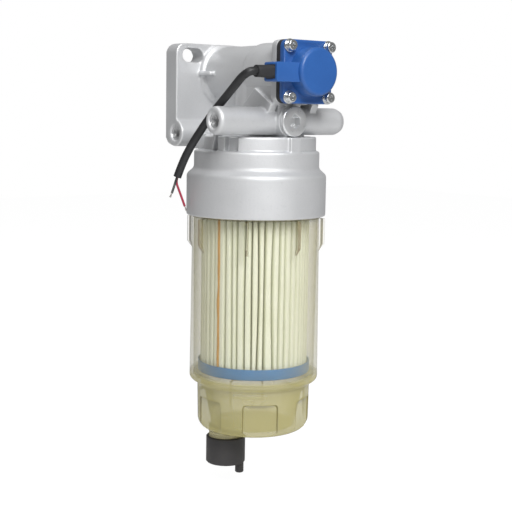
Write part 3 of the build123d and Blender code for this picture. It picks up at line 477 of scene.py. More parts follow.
FINISHES = {
    finish.slot: finish
    for finish in (
        CastFinish(),
        ClearFinish(),
        PaperFinish(),
        WorkedFinish(
            "pump_blue", (0.020, 0.104, 0.355), (0.017, 0.090, 0.315), (0.38, 0.50),
            patches=40, grain=900, depth=0.05, coat=0.10,
        ),
        WorkedFinish(
            "black_rubber", (0.022, 0.022, 0.024), (0.014, 0.014, 0.016), (0.55, 0.75),
            patches=90, grain=2600,
        ),
        WorkedFinish(
            "zinc_steel", (0.760, 0.770, 0.760), (0.600, 0.620, 0.640), (0.16, 0.34),
            metallic=1.0, patches=250, grain=2600, depth=0.02,
        ),
        WorkedFinish(
            "nickel_steel", (0.780, 0.785, 0.790), (0.660, 0.668, 0.675), (0.22, 0.36),
            metallic=0.75, patches=120, grain=2400, depth=0.02,
        ),
        WorkedFinish(
            "dark_steel", (0.110, 0.110, 0.115), (0.060, 0.060, 0.062), (0.35, 0.50),
            metallic=0.8, patches=180, grain=2000, depth=0.03,
        ),
        WorkedFinish(
            "soft_aluminium", (0.720, 0.725, 0.730), (0.600, 0.605, 0.612), (0.30, 0.45),
            metallic=0.9, patches=120, grain=2000,
        ),
        WorkedFinish(
            "dark_plastic", (0.046, 0.043, 0.044), (0.034, 0.032, 0.033), (0.48, 0.62),
            patches=70, grain=1500, depth=0.04,
        ),
        WorkedFinish(
            "blue_plastic", (0.006, 0.185, 0.470), (0.005, 0.160, 0.410), (0.35, 0.50),
            patches=80, grain=1400, depth=0.03,
        ),
        WorkedFinish(
            "white_plastic", (0.740, 0.740, 0.710), (0.680, 0.680, 0.650), (0.40, 0.55),
            patches=80, grain=1400,
        ),
        WorkedFinish(
            "orange_resin", (0.700, 0.330, 0.035), (0.560, 0.240, 0.025), (0.25, 0.45),
            patches=180, grain=700, depth=0.12,
        ),
        WorkedFinish(
            "ferrite", (0.110, 0.110, 0.115), (0.070, 0.070, 0.075), (0.60, 0.75),
            patches=200, grain=3000, depth=0.05,
        ),
        WorkedFinish(
            "lamination_steel", (0.360, 0.360, 0.370), (0.180, 0.180, 0.190), (0.35, 0.50),
            metallic=1.0, patches=90, grain=2600, depth=0.08, run=Grain.LAYERED,
        ),
        WorkedFinish(
            "copper_wire", (0.780, 0.360, 0.180), (0.420, 0.160, 0.070), (0.22, 0.40),
            metallic=0.9, patches=300, grain=1600, depth=0.20, run=Grain.LAYERED,
        ),
        WorkedFinish(
            "copper_bar", (0.820, 0.480, 0.300), (0.600, 0.300, 0.180), (0.20, 0.36),
            metallic=1.0, patches=260, grain=2400, depth=0.04,
        ),
        WorkedFinish(
            "tinned_copper", (0.620, 0.600, 0.570), (0.480, 0.440, 0.400), (0.25, 0.40),
            metallic=0.9, patches=300, grain=3000, depth=0.02,
        ),
        WorkedFinish(
            "carbon", (0.055, 0.055, 0.058), (0.035, 0.035, 0.036), (0.50, 0.65),
            metallic=0.2, patches=200, grain=3000,
        ),
        WorkedFinish(
            "bronze", (0.600, 0.420, 0.230), (0.420, 0.280, 0.140), (0.32, 0.50),
            metallic=1.0, patches=200, grain=3000, depth=0.04,
        ),
        WorkedFinish(
            "brass", (0.760, 0.620, 0.320), (0.620, 0.480, 0.230), (0.22, 0.36),
            metallic=1.0, patches=160, grain=2400, depth=0.02,
        ),
        WorkedFinish(
            "ball_steel", (0.780, 0.780, 0.790), (0.700, 0.700, 0.710), (0.06, 0.12),
            metallic=1.0, patches=200, grain=3000, depth=0.005,
        ),
        WorkedFinish(
            "cable_rubber", (0.018, 0.0185, 0.020), (0.012, 0.012, 0.013), (0.40, 0.58),
            patches=120, grain=2200, depth=0.05,
        ),
        WorkedFinish(
            "red_insulation", (0.420, 0.030, 0.070), (0.300, 0.018, 0.045), (0.30, 0.42),
            patches=200, grain=1800, depth=0.02,
        ),
        WorkedFinish(
            "black_insulation", (0.030, 0.036, 0.034), (0.018, 0.022, 0.020), (0.32, 0.45),
            patches=200, grain=1800, depth=0.02,
        ),
    )
}
MATERIALS: dict[str, bpy.types.Material] = {}


def material_of(slot: str) -> bpy.types.Material:
    """The node material of a record slot, built once."""
    if slot not in MATERIALS:
        MATERIALS[slot] = FINISHES[slot].material()
    return MATERIALS[slot]


def tube_frames(path: np.ndarray) -> tuple[np.ndarray, np.ndarray]:
    """Two directions across a path at each of its points.

    The first is a guide made square to the tangent, and the second is the cross of the two.

    Args:
        path: Points of shape (n, 3).

    Returns:
        Both sets of directions.
    """
    tangent = np.gradient(path, axis=0)
    tangent /= np.linalg.norm(tangent, axis=1, keepdims=True)
    guide = np.where(np.abs(tangent[:, :1]) < 0.8, [[1.0, 0.0, 0.0]], [[0.0, 0.0, 1.0]])
    side = guide - (guide * tangent).sum(1, keepdims=True) * tangent
    side /= np.linalg.norm(side, axis=1, keepdims=True)
    return side, np.cross(tangent, side)


class Form:
    """Collects grids of points and makes one mesh object of them."""

    def __init__(self, name: str) -> None:
        """Starts an empty form of that name."""
        self.name = name
        self.points: list[np.ndarray] = []
        self.faces: list[np.ndarray] = []
        self.marks: list[np.ndarray] = []
        self.count = 0

    def grid(self, points: np.ndarray, loop_rows: bool = False, mark: np.ndarray | None = None) -> None:
        """Adds a grid that closes round its columns.

        Args:
            points: Shape (rows, columns, 3), in mm from the collar's top.
            loop_rows: Whether the last row joins the first.
            mark: A number kept at each point, of shape (rows, columns).
        """
        rows, columns = points.shape[:2]
        index = np.arange(rows * columns).reshape(rows, columns) + self.count
        if loop_rows:
            index = np.vstack([index, index[:1]])
        beside = np.roll(index, -1, axis=1)
        quads = np.stack([index[:-1], beside[:-1], beside[1:], index[1:]], axis=-1).reshape(-1, 4)
        self.points.append(points.reshape(-1, 3))
        self.faces.append(quads)
        self.marks.append(np.zeros(rows * columns) if mark is None else mark.reshape(-1))
        self.count += rows * columns

    def tube(self, path: np.ndarray, radius: "float | np.ndarray", steps: int = 16) -> None:
        """Adds a round tube along a path, closed at both ends.

        Args:
            path: Points of shape (n, 3).
            radius: One radius, or one at each point.
            steps: Divisions round it.
        """
        side, over = tube_frames(path)
        turn = np.linspace(0, 2 * np.pi, steps, endpoint=False)
        radii = np.broadcast_to(radius, len(path))[:, None, None]
        ring = side[:, None] * np.cos(turn)[None, :, None] + over[:, None] * np.sin(turn)[None, :, None]
        body = path[:, None] + radii * ring
        first, last = path[:1, None] + 0 * body[:1], path[-1:, None] + 0 * body[:1]
        self.grid(np.concatenate([first, body, last]))

    def build(self, crease: float = 40.0) -> bpy.types.Object:
        """Makes the mesh, merges its doubled points and turns its faces outwards.

        Args:
            crease: Edges sharper than this many degrees stay sharp.

        Returns:
            The new object, at the origin.
        """
        points = placed(np.concatenate(self.points)).astype(np.float32)
        quads = np.concatenate(self.faces).astype(np.int32)
        mesh = bpy.data.meshes.new(self.name)
        mesh.vertices.add(len(points))
        mesh.vertices.foreach_set("co", points.ravel())
        mesh.loops.add(quads.size)
        mesh.loops.foreach_set("vertex_index", quads.ravel())
        mesh.polygons.add(len(quads))
        mesh.polygons.foreach_set("loop_start", np.arange(0, quads.size, 4, dtype=np.int32))
        mesh.update(calc_edges=True)
        mark = mesh.attributes.new("mark", "FLOAT", "POINT")
        mark.data.foreach_set("value", np.concatenate(self.marks).astype(np.float32))
        tidy(mesh, crease)
        return linked(self.name, mesh)


def tidy(mesh: bpy.types.Mesh, crease: float, merge: float = 1e-6) -> None:
    """Merges doubled points, drops flat slivers, turns faces outwards and sets smooth shading."""
    work = bmesh.new()
    work.from_mesh(mesh)
    bmesh.ops.remove_doubles(work, verts=work.verts, dist=merge)
    bmesh.ops.recalc_face_normals(work, faces=work.faces)
    work.to_mesh(mesh)
    work.free()
    mesh.shade_smooth()
    mesh.set_sharp_from_angle(angle=math.radians(crease))


def linked(name: str, data: bpy.types.ID) -> bpy.types.Object:
    """An object of that name with its data, in the scene."""
    made = bpy.data.objects.new(name, data)
    bpy.context.scene.collection.objects.link(made)
    return made


def settle(piece: bpy.types.Object) -> bpy.types.Object:
    """Applies a piece's modifiers to its mesh."""
    graph = bpy.context.evaluated_depsgraph_get()
    mesh = bpy.data.meshes.new_from_object(piece.evaluated_get(graph))
    piece.modifiers.clear()
    old = piece.data
    piece.data = mesh
    bpy.data.meshes.remove(old)
    return piece


def dressed(piece: bpy.types.Object, slot: str, body: str, *nodes: str) -> bpy.types.Object:
    """Gives a piece its finish and body, and hides the CAD nodes that it stands for.

    Args:
        piece: The finished object.
        slot: Its material slot in the record.
        body: The body that it rides on.
        *nodes: CAD nodes that it replaces.

    Returns:
        The piece.
    """
    piece.data.materials.clear()
    piece.data.materials.append(material_of(slot))
    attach(piece, body)
    if nodes:
        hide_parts(*nodes)
    LOG.info("%s rides on %s", piece.name, body)
    return piece


def merged_copy(node: str, flatten: bool = False) -> bpy.types.Mesh:
    """A copy of a CAD node's mesh with its loose triangles joined.

    Args:
        node: The CAD node.
        flatten: Whether the edges inside flat faces are cleared.

    Returns:
        The new mesh.
    """
    mesh = frame["nodes"][node].data.copy()
    work = bmesh.new()
    work.from_mesh(mesh)
    bmesh.ops.remove_doubles(work, verts=work.verts, dist=MERGE)
    if flatten:
        flat = math.radians(0.4)
        bmesh.ops.dissolve_limit(
            work, angle_limit=flat, verts=work.verts, edges=work.edges, use_dissolve_boundaries=False
        )
    work.to_mesh(mesh)
    work.free()
    return mesh


def rounded(corners: list[tuple[float, float]], radii: list[float], steps: int = 6) -> np.ndarray:
    """A profile whose inner corners are replaced by arcs that touch both sides.

    Each arc is the circle of the given radius tangent to the two straight runs.

    Args:
        corners: Profile corners, first and last kept sharp.
        radii: One radius for each corner between them, 0 for sharp.
        steps: Points on each arc, less one.

    Returns:
        Points of shape (n, 2).
    """
    points = [np.array(corners[0], float)]
    for before, corner, after, radius in zip(corners, corners[1:], corners[2:], radii):
        here = np.array(corner, float)
        back = np.array(before, float) - here
        ahead = np.array(after, float) - here
        back /= np.linalg.norm(back)
        ahead /= np.linalg.norm(ahead)
        half = math.acos(float(np.clip(back @ ahead, -1, 1))) / 2
        if radius <= 0 or half > 1.56:
            points.append(here)
            continue
        middle = here + (back + ahead) / np.linalg.norm(back + ahead) * radius / math.sin(half)
        start = here + back * radius / math.tan(half) - middle
        sweep = (math.pi - 2 * half) * np.sign(start[0] * ahead[1] - start[1] * ahead[0])
        turn = np.linspace(0, sweep, steps + 1)[:, None]
        across = np.array([-start[1], start[0]])
        points.extend(middle + np.cos(turn) * start + np.sin(turn) * across)
    points.append(np.array(corners[-1], float))
    return np.array(points)


def spaced(profile: np.ndarray, step: float) -> np.ndarray:
    """Adds points on a profile's long runs, so that none is longer than the step."""
    parts = []
    for start, end in zip(profile[:-1], profile[1:]):
        count = max(1, math.ceil(float(np.linalg.norm(end - start)) / step))
        parts.append(start + (end - start) * np.linspace(0, 1, count, endpoint=False)[:, None])
    return np.concatenate(parts + [profile[-1:]])


def around(steps: int) -> np.ndarray:
    """Angles of even steps round a full turn, as one row."""
    return np.linspace(0, 2 * np.pi, steps, endpoint=False)[None, :]


def upright(
    radius: np.ndarray | float,
    turn: np.ndarray,
    height: np.ndarray,
    centre: tuple[float, float] = (0.0, 0.0),
) -> np.ndarray:
    """Points round an upright axis: x = r cos t and y = r sin t from the centre, at a height."""
    x, y = centre
    return np.stack([x + radius * np.cos(turn), y + radius * np.sin(turn), height + 0 * turn], axis=-1)


def thread(turn: np.ndarray, along: np.ndarray, pitch: float) -> np.ndarray:
    """A thread's relief from 0 in the groove to 1 on the crest: a rounded wave of distance less turns."""
    return 0.5 + 0.5 * np.cos(2 * np.pi * (along / pitch - turn / (2 * np.pi)))


@dataclass
class HeadCasting:
    """The cast head, taken from its CAD node and given cast corners, and its port threads.

    Attributes:
        voxel: Size of the remesh cells, in mm.
        passes: Smoothing passes that round the corners.
        keep: Share of the faces that is kept.
        port_radius: Radius of a port's bore.
        port_depth: Where its thread ends, from the mouth.
        thread_start: Where its thread starts, from the mouth.
        thread_run_in: Length over which the crests rise to their full height.
        thread_pitch: Distance between two turns.
        thread_height: Height of the crests.
        thread_seat: How far outside the bore the grooves lie.
        sleeve: How far outside the bore the thread's ring reaches.
        tube_port: Middle of the cross tube's mouth.
        gallery_port: Middle of the gallery's mouth.
    """

    voxel: float = 0.80
    passes: int = 3
    keep: float = 0.30
    port_radius: float = 6.25
    port_depth: float = 14.0
    thread_start: float = 1.3
    thread_run_in: float = 1.2
    thread_pitch: float = 1.5
    thread_height: float = 0.75
    thread_seat: float = 0.1
    sleeve: float = 0.35
    tube_port: Place = (-66.7, -30.3, 24.5)
    gallery_port: Place = (-45.2, 55.1, 13.1)

    def casting(self) -> None:
        """Remeshes a merged copy of the CAD casting into cells and smooths it, which leaves cast corners."""
        mesh = frame["nodes"]["head_casting"].data.copy()
        tidy(mesh, 180, MERGE)
        piece = linked("head_cast_body", mesh)
        cells = piece.modifiers.new("cells", "REMESH")
        cells.mode = "VOXEL"
        cells.voxel_size = self.voxel * MM
        cells.use_smooth_shade = True
        soften = piece.modifiers.new("soften", "SMOOTH")
        soften.factor = 0.5
        soften.iterations = self.passes
        thin = piece.modifiers.new("thin", "DECIMATE")
        thin.ratio = self.keep
        settle(piece)
        piece.data.shade_smooth()
        LOG.info("head faces %d", len(piece.data.polygons))
        dressed(piece, "cast_aluminium", "head", "head_casting")

    def port_thread(self, name: str, mouth: Place) -> None:
        """A tapped hole's thread: a ring along X whose inner wall follows a helix.

        Args:
            name: The piece's name.
            mouth: Middle of the hole's mouth.
        """
        x, y, z = mouth
        turn = around(48)
        along = np.linspace(self.thread_start, self.port_depth, 110)[:, None]
        crest = np.clip((along - self.thread_start) / self.thread_run_in, 0, 1)
        relief = self.thread_height * crest * thread(turn, along, self.thread_pitch)
        inner = self.port_radius + self.thread_seat - relief
        outer = np.full_like(inner, self.port_radius + self.sleeve)
        radius = np.concatenate([inner, outer[::-1]])
        depth = np.concatenate([along, along[::-1]]) + 0 * turn
        form = Form(name)
        form.grid(
            np.stack([x + depth, y + radius * np.cos(turn), z + radius * np.sin(turn)], axis=-1),
            loop_rows=True,
        )
        dressed(form.build(), "soft_aluminium", "head")

    def make(self) -> None:
        """Builds the head's pieces."""
        self.casting()
        self.port_thread("tube_port_thread", self.tube_port)
        self.port_thread("gallery_port_thread", self.gallery_port)


@dataclass
class ClearBowl:
    """The screw-on bowl: a turned wall with grip ribs, a sump with wrench flats and a drain neck.

    Sizes are in mm, and heights are above the collar's top.

    Attributes:
        rim: Height of the top edge.
        lip: Height of the step under the thread.
        neck_radius: Outer radius of the threaded neck.
        wall: Thickness of the wall.
        radius: Outer radius below the lip.
        foot_radius: Outer radius at the shoulder.
        shoulder: Height of the shoulder.
        shoulder_fall: How far the shoulder slopes down to the sump.
        sump_radius: Outer radius of the sump's top.
        sump_foot: Outer radius of its foot.
        bottom: Height of its bottom.
        sump_inner: Radius of its hollow.
        flat_top: Height of the wrench flats' top.
        flat_distance: From the axis to a flat.
        flat_half_width: Half of a flat's width.
        flat_corner: Radius of its corners.
        flat_blend: Distance over which a flat passes into the wall.
        flat_step: Row spacing at the flats.
        rib_radius: From the axis to a rib's outer face.
        rib_half_width: Half of a rib's width.
        rib_blend: Distance over which a rib passes into the wall.
        rib_head: How far under the lip the ribs start.
        rib_foot: Height at which they start to taper.
        rib_taper: Length of the taper.
        rib_rows: Heights between which the rows at the ribs' feet are close.
        rib_step: Row spacing at the ribs.
        wall_step: Row spacing on the plain wall.
        thread_pitch: Distance between two turns of the bowl's thread.
        thread_depth: Half of its depth.
        thread_end: How far it stays from the neck's ends.
        neck_step: Row spacing at the thread.
        line_width: Width over which a painted shade line fades.
        skirt_shadow: How far the dark line of the skirt's painted shadow runs below and above the lip.
        step_drop: How far under the shoulder the darker line of painted shade at the step lies.
        drain_centre: Where the drain's axis is.
        drain_radius: Outer radius of its neck.
        drain_bore: Radius of its hole.
        drain_foot: Height of its end.
        drain_pitch: Distance between two turns of its thread.
        drain_thread_depth: Half of that thread's depth.
        steps: Divisions round the bowl.
    """

    rim: float = -31.0
    lip: float = -53.6
    neck_radius: float = 52.5
    wall: float = 3.2
    radius: float = 54.9
    foot_radius: float = 54.2
    shoulder: float = -191.5
    shoulder_fall: float = 1.5
    sump_radius: float = 47.6
    sump_foot: float = 46.8
    bottom: float = -234.0
    sump_inner: float = 41.0
    flat_top: float = -205.3
    flat_distance: float = 43.8
    flat_half_width: float = 14.4
    flat_corner: float = 3.0
    flat_blend: float = 0.5
    flat_step: float = 0.5
    rib_radius: float = 57.9
    rib_half_width: float = 1.2
    rib_blend: float = 0.4
    rib_head: float = 1.2
    rib_foot: float = -76.5
    rib_taper: float = 6.0
    rib_rows: tuple[float, float] = (-70.0, -84.0)
    rib_step: float = 0.7
    wall_step: float = 12.0
    thread_pitch: float = 3.0
    thread_depth: float = 0.9
    thread_end: float = 1.5
    neck_step: float = 0.8
    line_width: float = 0.9
    skirt_shadow: tuple[float, float] = (1.6, 0.1)
    step_drop: float = 3.4
    drain_centre: tuple[float, float] = (-18.0, 14.0)
    drain_radius: float = 14.5
    drain_bore: float = 9.5
    drain_foot: float = -256.5
    drain_pitch: float = 2.0
    drain_thread_depth: float = 0.8
    steps: int = 720

    def outside(self) -> np.ndarray:
        """The outer profile from the rim down to the axis, with more points where ribs and flats are."""
        profile = rounded(
            [
                (self.neck_radius, self.rim),
                (self.neck_radius, self.lip),
                (self.radius, self.lip),
                (self.foot_radius, self.shoulder),
                (self.sump_radius, self.shoulder - self.shoulder_fall),
                (self.sump_foot, self.bottom),
                (0.0, self.bottom),
            ],
            [0.3, 1.0, 4.0, 4.0, 9.0],
            8,
        )
        fine = []
        for start, end in zip(profile[:-1], profile[1:]):
            middle = (start[1] + end[1]) / 2
            if abs(start[1] - end[1]) <= 2:
                fine.append(start)
            elif self.shoulder < middle < self.lip:
                cuts = (start[1], *self.rib_rows, end[1])
                gaps = (self.rib_step, self.rib_step, self.wall_step)
                for top, foot, gap in zip(cuts[:-1], cuts[1:], gaps):
                    share = (np.arange(top, foot, -gap) - start[1]) / (end[1] - start[1])
                    fine.extend(start + (end - start) * value for value in share)
            else:
                step = self.neck_step if middle > self.lip else self.flat_step
                fine.extend(spaced(np.array([start, end]), step)[:-1])
        fine.append(profile[-1])
        return np.array(fine)

    def inside(self) -> np.ndarray:
        """The inner profile from the axis up to the rim."""
        floor = self.bottom + self.wall
        return rounded(
            [
                (0.0, floor),
                (self.sump_inner, floor),
                (self.sump_inner, self.flat_top + self.wall),
                (self.sump_radius - self.wall, self.flat_top + 2 * self.wall),
                (self.sump_radius - self.wall, self.shoulder + self.wall - self.shoulder_fall),
                (self.foot_radius - self.wall, self.shoulder + self.wall),
                (self.radius - self.wall, self.lip - self.wall),
                (self.neck_radius - self.wall, self.lip),
                (self.neck_radius - self.wall, self.rim),
            ],
            [5.8, 1.0, 1.0, 4.0, 1.5, 1.0, 1.0],
            6,
        )

    def ribbed(
        self, radius: np.ndarray, turn: np.ndarray, height: np.ndarray
    ) -> tuple[np.ndarray, np.ndarray]:
        """Raises the wall to its eight ribs, within half a rib's width of their middle planes.

        Args:
            radius: The wall's radius.
            turn: Angle of each column.
            height: Height of each row.

        Returns:
            The new radius, and 1 on the ribs' outer faces.
        """
        eighth = np.pi / 4
        across = radius * np.abs(np.sin((turn + eighth / 2) % eighth - eighth / 2))
        foot = self.rib_foot - self.rib_taper
        taper = np.clip((height - foot) / self.rib_taper, 0, 1)
        side = np.clip((self.rib_half_width + self.rib_blend / 2 - across) / self.rib_blend, 0, 1)
        on_rib = side * (height < self.lip - self.rib_head) * (height > foot)
        raised = radius + (self.rib_radius - radius) * on_rib * taper
        return raised, on_rib * (across < self.rib_half_width)

    def flattened(
        self, radius: np.ndarray, turn: np.ndarray, height: np.ndarray
    ) -> tuple[np.ndarray, np.ndarray]:
        """Cuts the wall back to its six flats: rounded rectangles on planes at a set distance from the axis.

        Args:
            radius: The wall's radius.
            turn: Angle of each column.
            height: Height of each row.

        Returns:
            The new radius, and up to 1 along the flats' edges, where shade is painted.
        """
        sixth = np.pi / 3
        away = (turn + sixth / 2) % sixth - sixth / 2
        gap_side = np.abs(radius * np.sin(away)) - (self.flat_half_width - self.flat_corner)
        gap_top = height - (self.flat_top - self.flat_corner)
        beyond = np.hypot(np.maximum(gap_side, 0), np.maximum(gap_top, 0))
        edge = beyond + np.minimum(np.maximum(gap_side, gap_top), 0)
        share = np.clip((self.flat_corner + self.flat_blend / 2 - edge) / self.flat_blend, 0, 1)
        flat = self.flat_distance / np.cos(away)
        cut = radius > flat
        shade_line = np.clip(1.0 - np.abs(edge - self.flat_corner) / self.line_width, 0, 1) * cut
        return np.where(cut, radius + (flat - radius) * share, radius), shade_line

    def shell(self) -> None:
        """The wall as one closed grid: down the outer profile, with its relief, and up the inner one."""
        turn = around(self.steps)
        outer, inner = self.outside(), self.inside()
        radius = outer[:, :1] + 0 * turn
        height = outer[:, 1:] + 0 * turn
        on_neck = (height > self.lip + self.thread_end) & (height < self.rim - self.thread_end)
        radius -= self.thread_depth * on_neck.astype(float) * (1 - thread(turn, height, self.thread_pitch))
        radius, rib_face = self.ribbed(radius, turn, height)
        radius, shade_line = self.flattened(radius, turn, height)
        # Marks for painted shade: the flats' edges, the skirt's painted shadow just under the lip and a line
        # under the shoulder; the ribs' outer faces get 1.
        below, above = self.skirt_shadow
        skirt_shadow = (height > self.lip - below) & (height <= self.lip + above)
        from_step = np.abs(height - (self.shoulder - self.step_drop))
        step_shade = np.clip(1.0 - from_step / self.line_width, 0, 1) * 0.6
        mark = np.maximum(np.maximum.reduce([shade_line, skirt_shadow, step_shade]) * 0.5, rib_face)
        inner_radius = inner[:, :1] + 0 * turn
        form = Form("bowl_shell")
        form.grid(
            upright(
                np.concatenate([radius, inner_radius]),
                turn,
                np.concatenate([height, inner[:, 1:] + 0 * turn]),
            ),
            loop_rows=True,
            mark=np.concatenate([mark, np.zeros_like(inner_radius)]),
        )
        self.add_neck(form)
        dressed(form.build(35), "amber_plastic", "bowl", "bowl")

    def add_neck(self, form: Form) -> None:
        """The drain's threaded neck: a ring whose outer wall follows a helix, below the bowl's bottom."""
        turn = around(96)
        along = np.linspace(self.bottom - 0.02, self.drain_foot, 60)[:, None]
        run_in = np.clip((self.bottom - 1.0 - along) / 1.5, 0, 1)
        groove = 1 - thread(turn, along, self.drain_pitch)
        outer = self.drain_radius - self.drain_thread_depth * groove * run_in
        inner = np.full_like(outer, self.drain_bore)
        radius = np.concatenate([outer, inner[::-1]])
        height = np.concatenate([along, along[::-1]])
        form.grid(upright(radius, turn, height, self.drain_centre), loop_rows=True)

    def make(self) -> None:
        """Builds the bowl."""
        self.shell()


@dataclass
class FilterElement:
    """The pleated paper of the element, with folds that differ a little, and its glue seam.

    Sizes are in mm, and heights are above the collar's top.

    Attributes:
        pleats: Number of folds.
        outer: Radius of the folds' tips.
        valley: Radius of the valleys between them.
        inner: Radius of the pack's inside.
        stray: How far valleys stray from even spacing, as a share of a fold.
        shorter: How far tips fall short of the full radius.
        power: Lowest and highest power by which a fold's sides fall.
        lean: How far a fold leans, as a share of its width.
        seam_fold: The fold after which the seam lies.
        seam_width: Width of the glue bead.
        seam_depth: Its depth.
        seam_proud: How far it stands out of the tips' radius.
        seam_foot: How far above the paper's foot it starts.
        foot: Height of the paper's foot.
        top: Height of its top.
        rows: Rows up the paper.
        seed: Start of the random draws.
    """

    pleats: int = 48
    outer: float = 45.1
    valley: float = 31.5
    inner: float = 28.8
    stray: float = 0.12
    shorter: float = 0.55
    power: tuple[float, float] = (4.0, 8.0)
    lean: float = 0.14
    seam_fold: int = 25
    seam_width: float = 3.2
    seam_depth: float = 2.6
    seam_proud: float = 0.30
    seam_foot: float = 5.5
    foot: float = -181.6
    top: float = -27.5
    rows: int = 14
    seed: int = 21

    def media(self) -> None:
        """Folds round the axis. Across a fold, the radius falls from its tip by a power of the distance.

        Each fold lies between two valleys that stray from even spacing, and leans a little along its height.
        """
        random = np.random.default_rng(self.seed)
        stray = random.normal(0, self.stray, self.pleats)
        tip = self.outer - np.abs(random.normal(0, self.shorter, self.pleats))
        power = random.uniform(*self.power, self.pleats)
        lean = random.normal(0, self.lean, self.pleats)
        phase = random.uniform(0, 2 * np.pi, self.pleats)
        stray[self.seam_fold % self.pleats] = 0.0
        lean[self.seam_fold % self.pleats] = 0.0
        fold = 0.5 * np.sin(np.linspace(-1, 1, 17)[:-1] * np.pi / 2)
        across = fold[None, :, None]
        level = np.linspace(0, 1, self.rows)[:, None, None]
        start = np.arange(self.pleats) + 0.5 + stray
        end = np.roll(start, -1) + (np.arange(self.pleats) == self.pleats - 1) * self.pleats
        sway = lean * np.sin(level * np.pi * 1.5 + phase[None, None, :])
        begin = start[None, None, :] + sway
        finish = end[None, None, :] + np.roll(sway, -1, axis=2)
        turn = (begin + (finish - begin) * (across + 0.5)) * 2 * np.pi / self.pleats
        drop = np.abs(2 * across) ** power[None, None, :]
        radius = self.valley + (tip[None, None, :] - self.valley) * (1 - drop) + 0 * level
        height = self.foot + (self.top - self.foot) * level + 0 * radius
        flat = (self.rows, self.pleats * len(fold))
        turn, radius, height = (part.transpose(0, 2, 1).reshape(flat) for part in (turn, radius, height))
        # depth is 0 at the tips and 1 in the valleys; with 1 on the pack's inside it carries the paper's
        # painted shade.
        depth = (self.outer - radius) / (self.outer - self.valley)
        outside, inside = upright(radius, turn, height), upright(self.inner, turn, height)
        form = Form("pleated_paper")
        form.grid(
            np.concatenate([outside, inside[::-1]]),
            loop_rows=True,
            mark=np.concatenate([depth, np.ones_like(depth)]),
        )
        dressed(form.build(60), "filter_paper", "head", "element_media")

    def seam(self) -> None:
        """The glue bead that closes the pack: a flattened tube that wavers as it runs up a valley.

        Its section is an ellipse, and its middle strays from the valley by two sine waves of its height.
        """
        turn = around(20)
        height = np.linspace(self.foot + self.seam_foot, self.top, 90)[:, None]
        where = 2 * np.pi * (self.seam_fold + 0.5) / self.pleats
        stray = 0.25 * np.sin(height / 9.0) + 0.15 * np.sin(height / 3.7)
        half = self.seam_width / 2 * (1 + 0.18 * np.sin(height / 5.3))
        out = self.outer - self.seam_depth / 2 + self.seam_proud + self.seam_depth / 2 * np.cos(turn)
        side = half * np.sin(turn) + stray
        body = np.stack(
            [
                out * math.cos(where) - side * math.sin(where),
                out * math.sin(where) + side * math.cos(where),
                height + 0 * turn,
            ],
            axis=-1,
        )
        ends = [row.mean(axis=0) + 0 * row for row in (body[0], body[-1])]
        form = Form("seam_bead")
        form.grid(np.concatenate([ends[:1], body, ends[1:]]))
        dressed(form.build(), "orange_resin", "head", "element_seam")

    def make(self) -> None:
        """Builds the element's paper and its seam."""
        self.media()
        self.seam()


@dataclass
class SoftenedPiece:
    """A CAD node's copy with its sharp edges broken.

    Attributes:
        node: The CAD node.
        name: The new piece's name.
        slot: Its material slot.
        body: Its body.
        edge: Width of the broken edge, in mm.
    """

    node: str
    name: str
    slot: str
    body: str
    edge: float

    def make(self) -> None:
        """Bevels the sharp edges of a merged copy of the node's mesh."""
        piece = linked(self.name, merged_copy(self.node, flatten=True))
        bevel = piece.modifiers.new("broken edges", "BEVEL")
        bevel.width = self.edge * MM
        bevel.segments = 2
        bevel.limit_method = "ANGLE"
        bevel.angle_limit = math.radians(40)
        bevel.use_clamp_overlap = True
        settle(piece)
        piece.data.shade_smooth()
        piece.data.set_sharp_from_angle(angle=math.radians(38))
        dressed(piece, self.slot, self.body, self.node)


@dataclass
class CheckSpring:
    """The check valve's spring, as a merged copy of its CAD node.

    Attributes:
        slot: Its material slot.
        travel: How far the ball comes down, in mm. Not used.
    """

    slot: str = "nickel_steel"
    travel: float = 1.2

    def make(self) -> None:
        """Dresses a merged copy of the node's mesh and gives the piece a mesh of its own."""
        piece = settle(linked("check_coil", merged_copy("check_spring")))
        dressed(piece, self.slot, "head", "check_spring")
        points = np.empty(len(piece.data.vertices) * 3)
        piece.data.vertices.foreach_get("co", points)
        points = points.reshape(-1, 3)
        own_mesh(piece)


@dataclass(frozen=True)
class BaredWire:
    """One core of the lead, where it comes out of the cut jacket.

    Attributes:
        node: The CAD node of its insulation, which names its pieces too.
        side: Which side of the jacket's middle it comes out on, as a share of the cores' spacing.
        slot: Material slot of its insulation.
        bend: Control point of its bend, from its root, in mm.
        end: Where its insulation ends, from its root.
        tip: Where its strands end, from its root.
    """

    node: str
    side: float
    slot: str
    bend: Place
    end: Place
    tip: Place


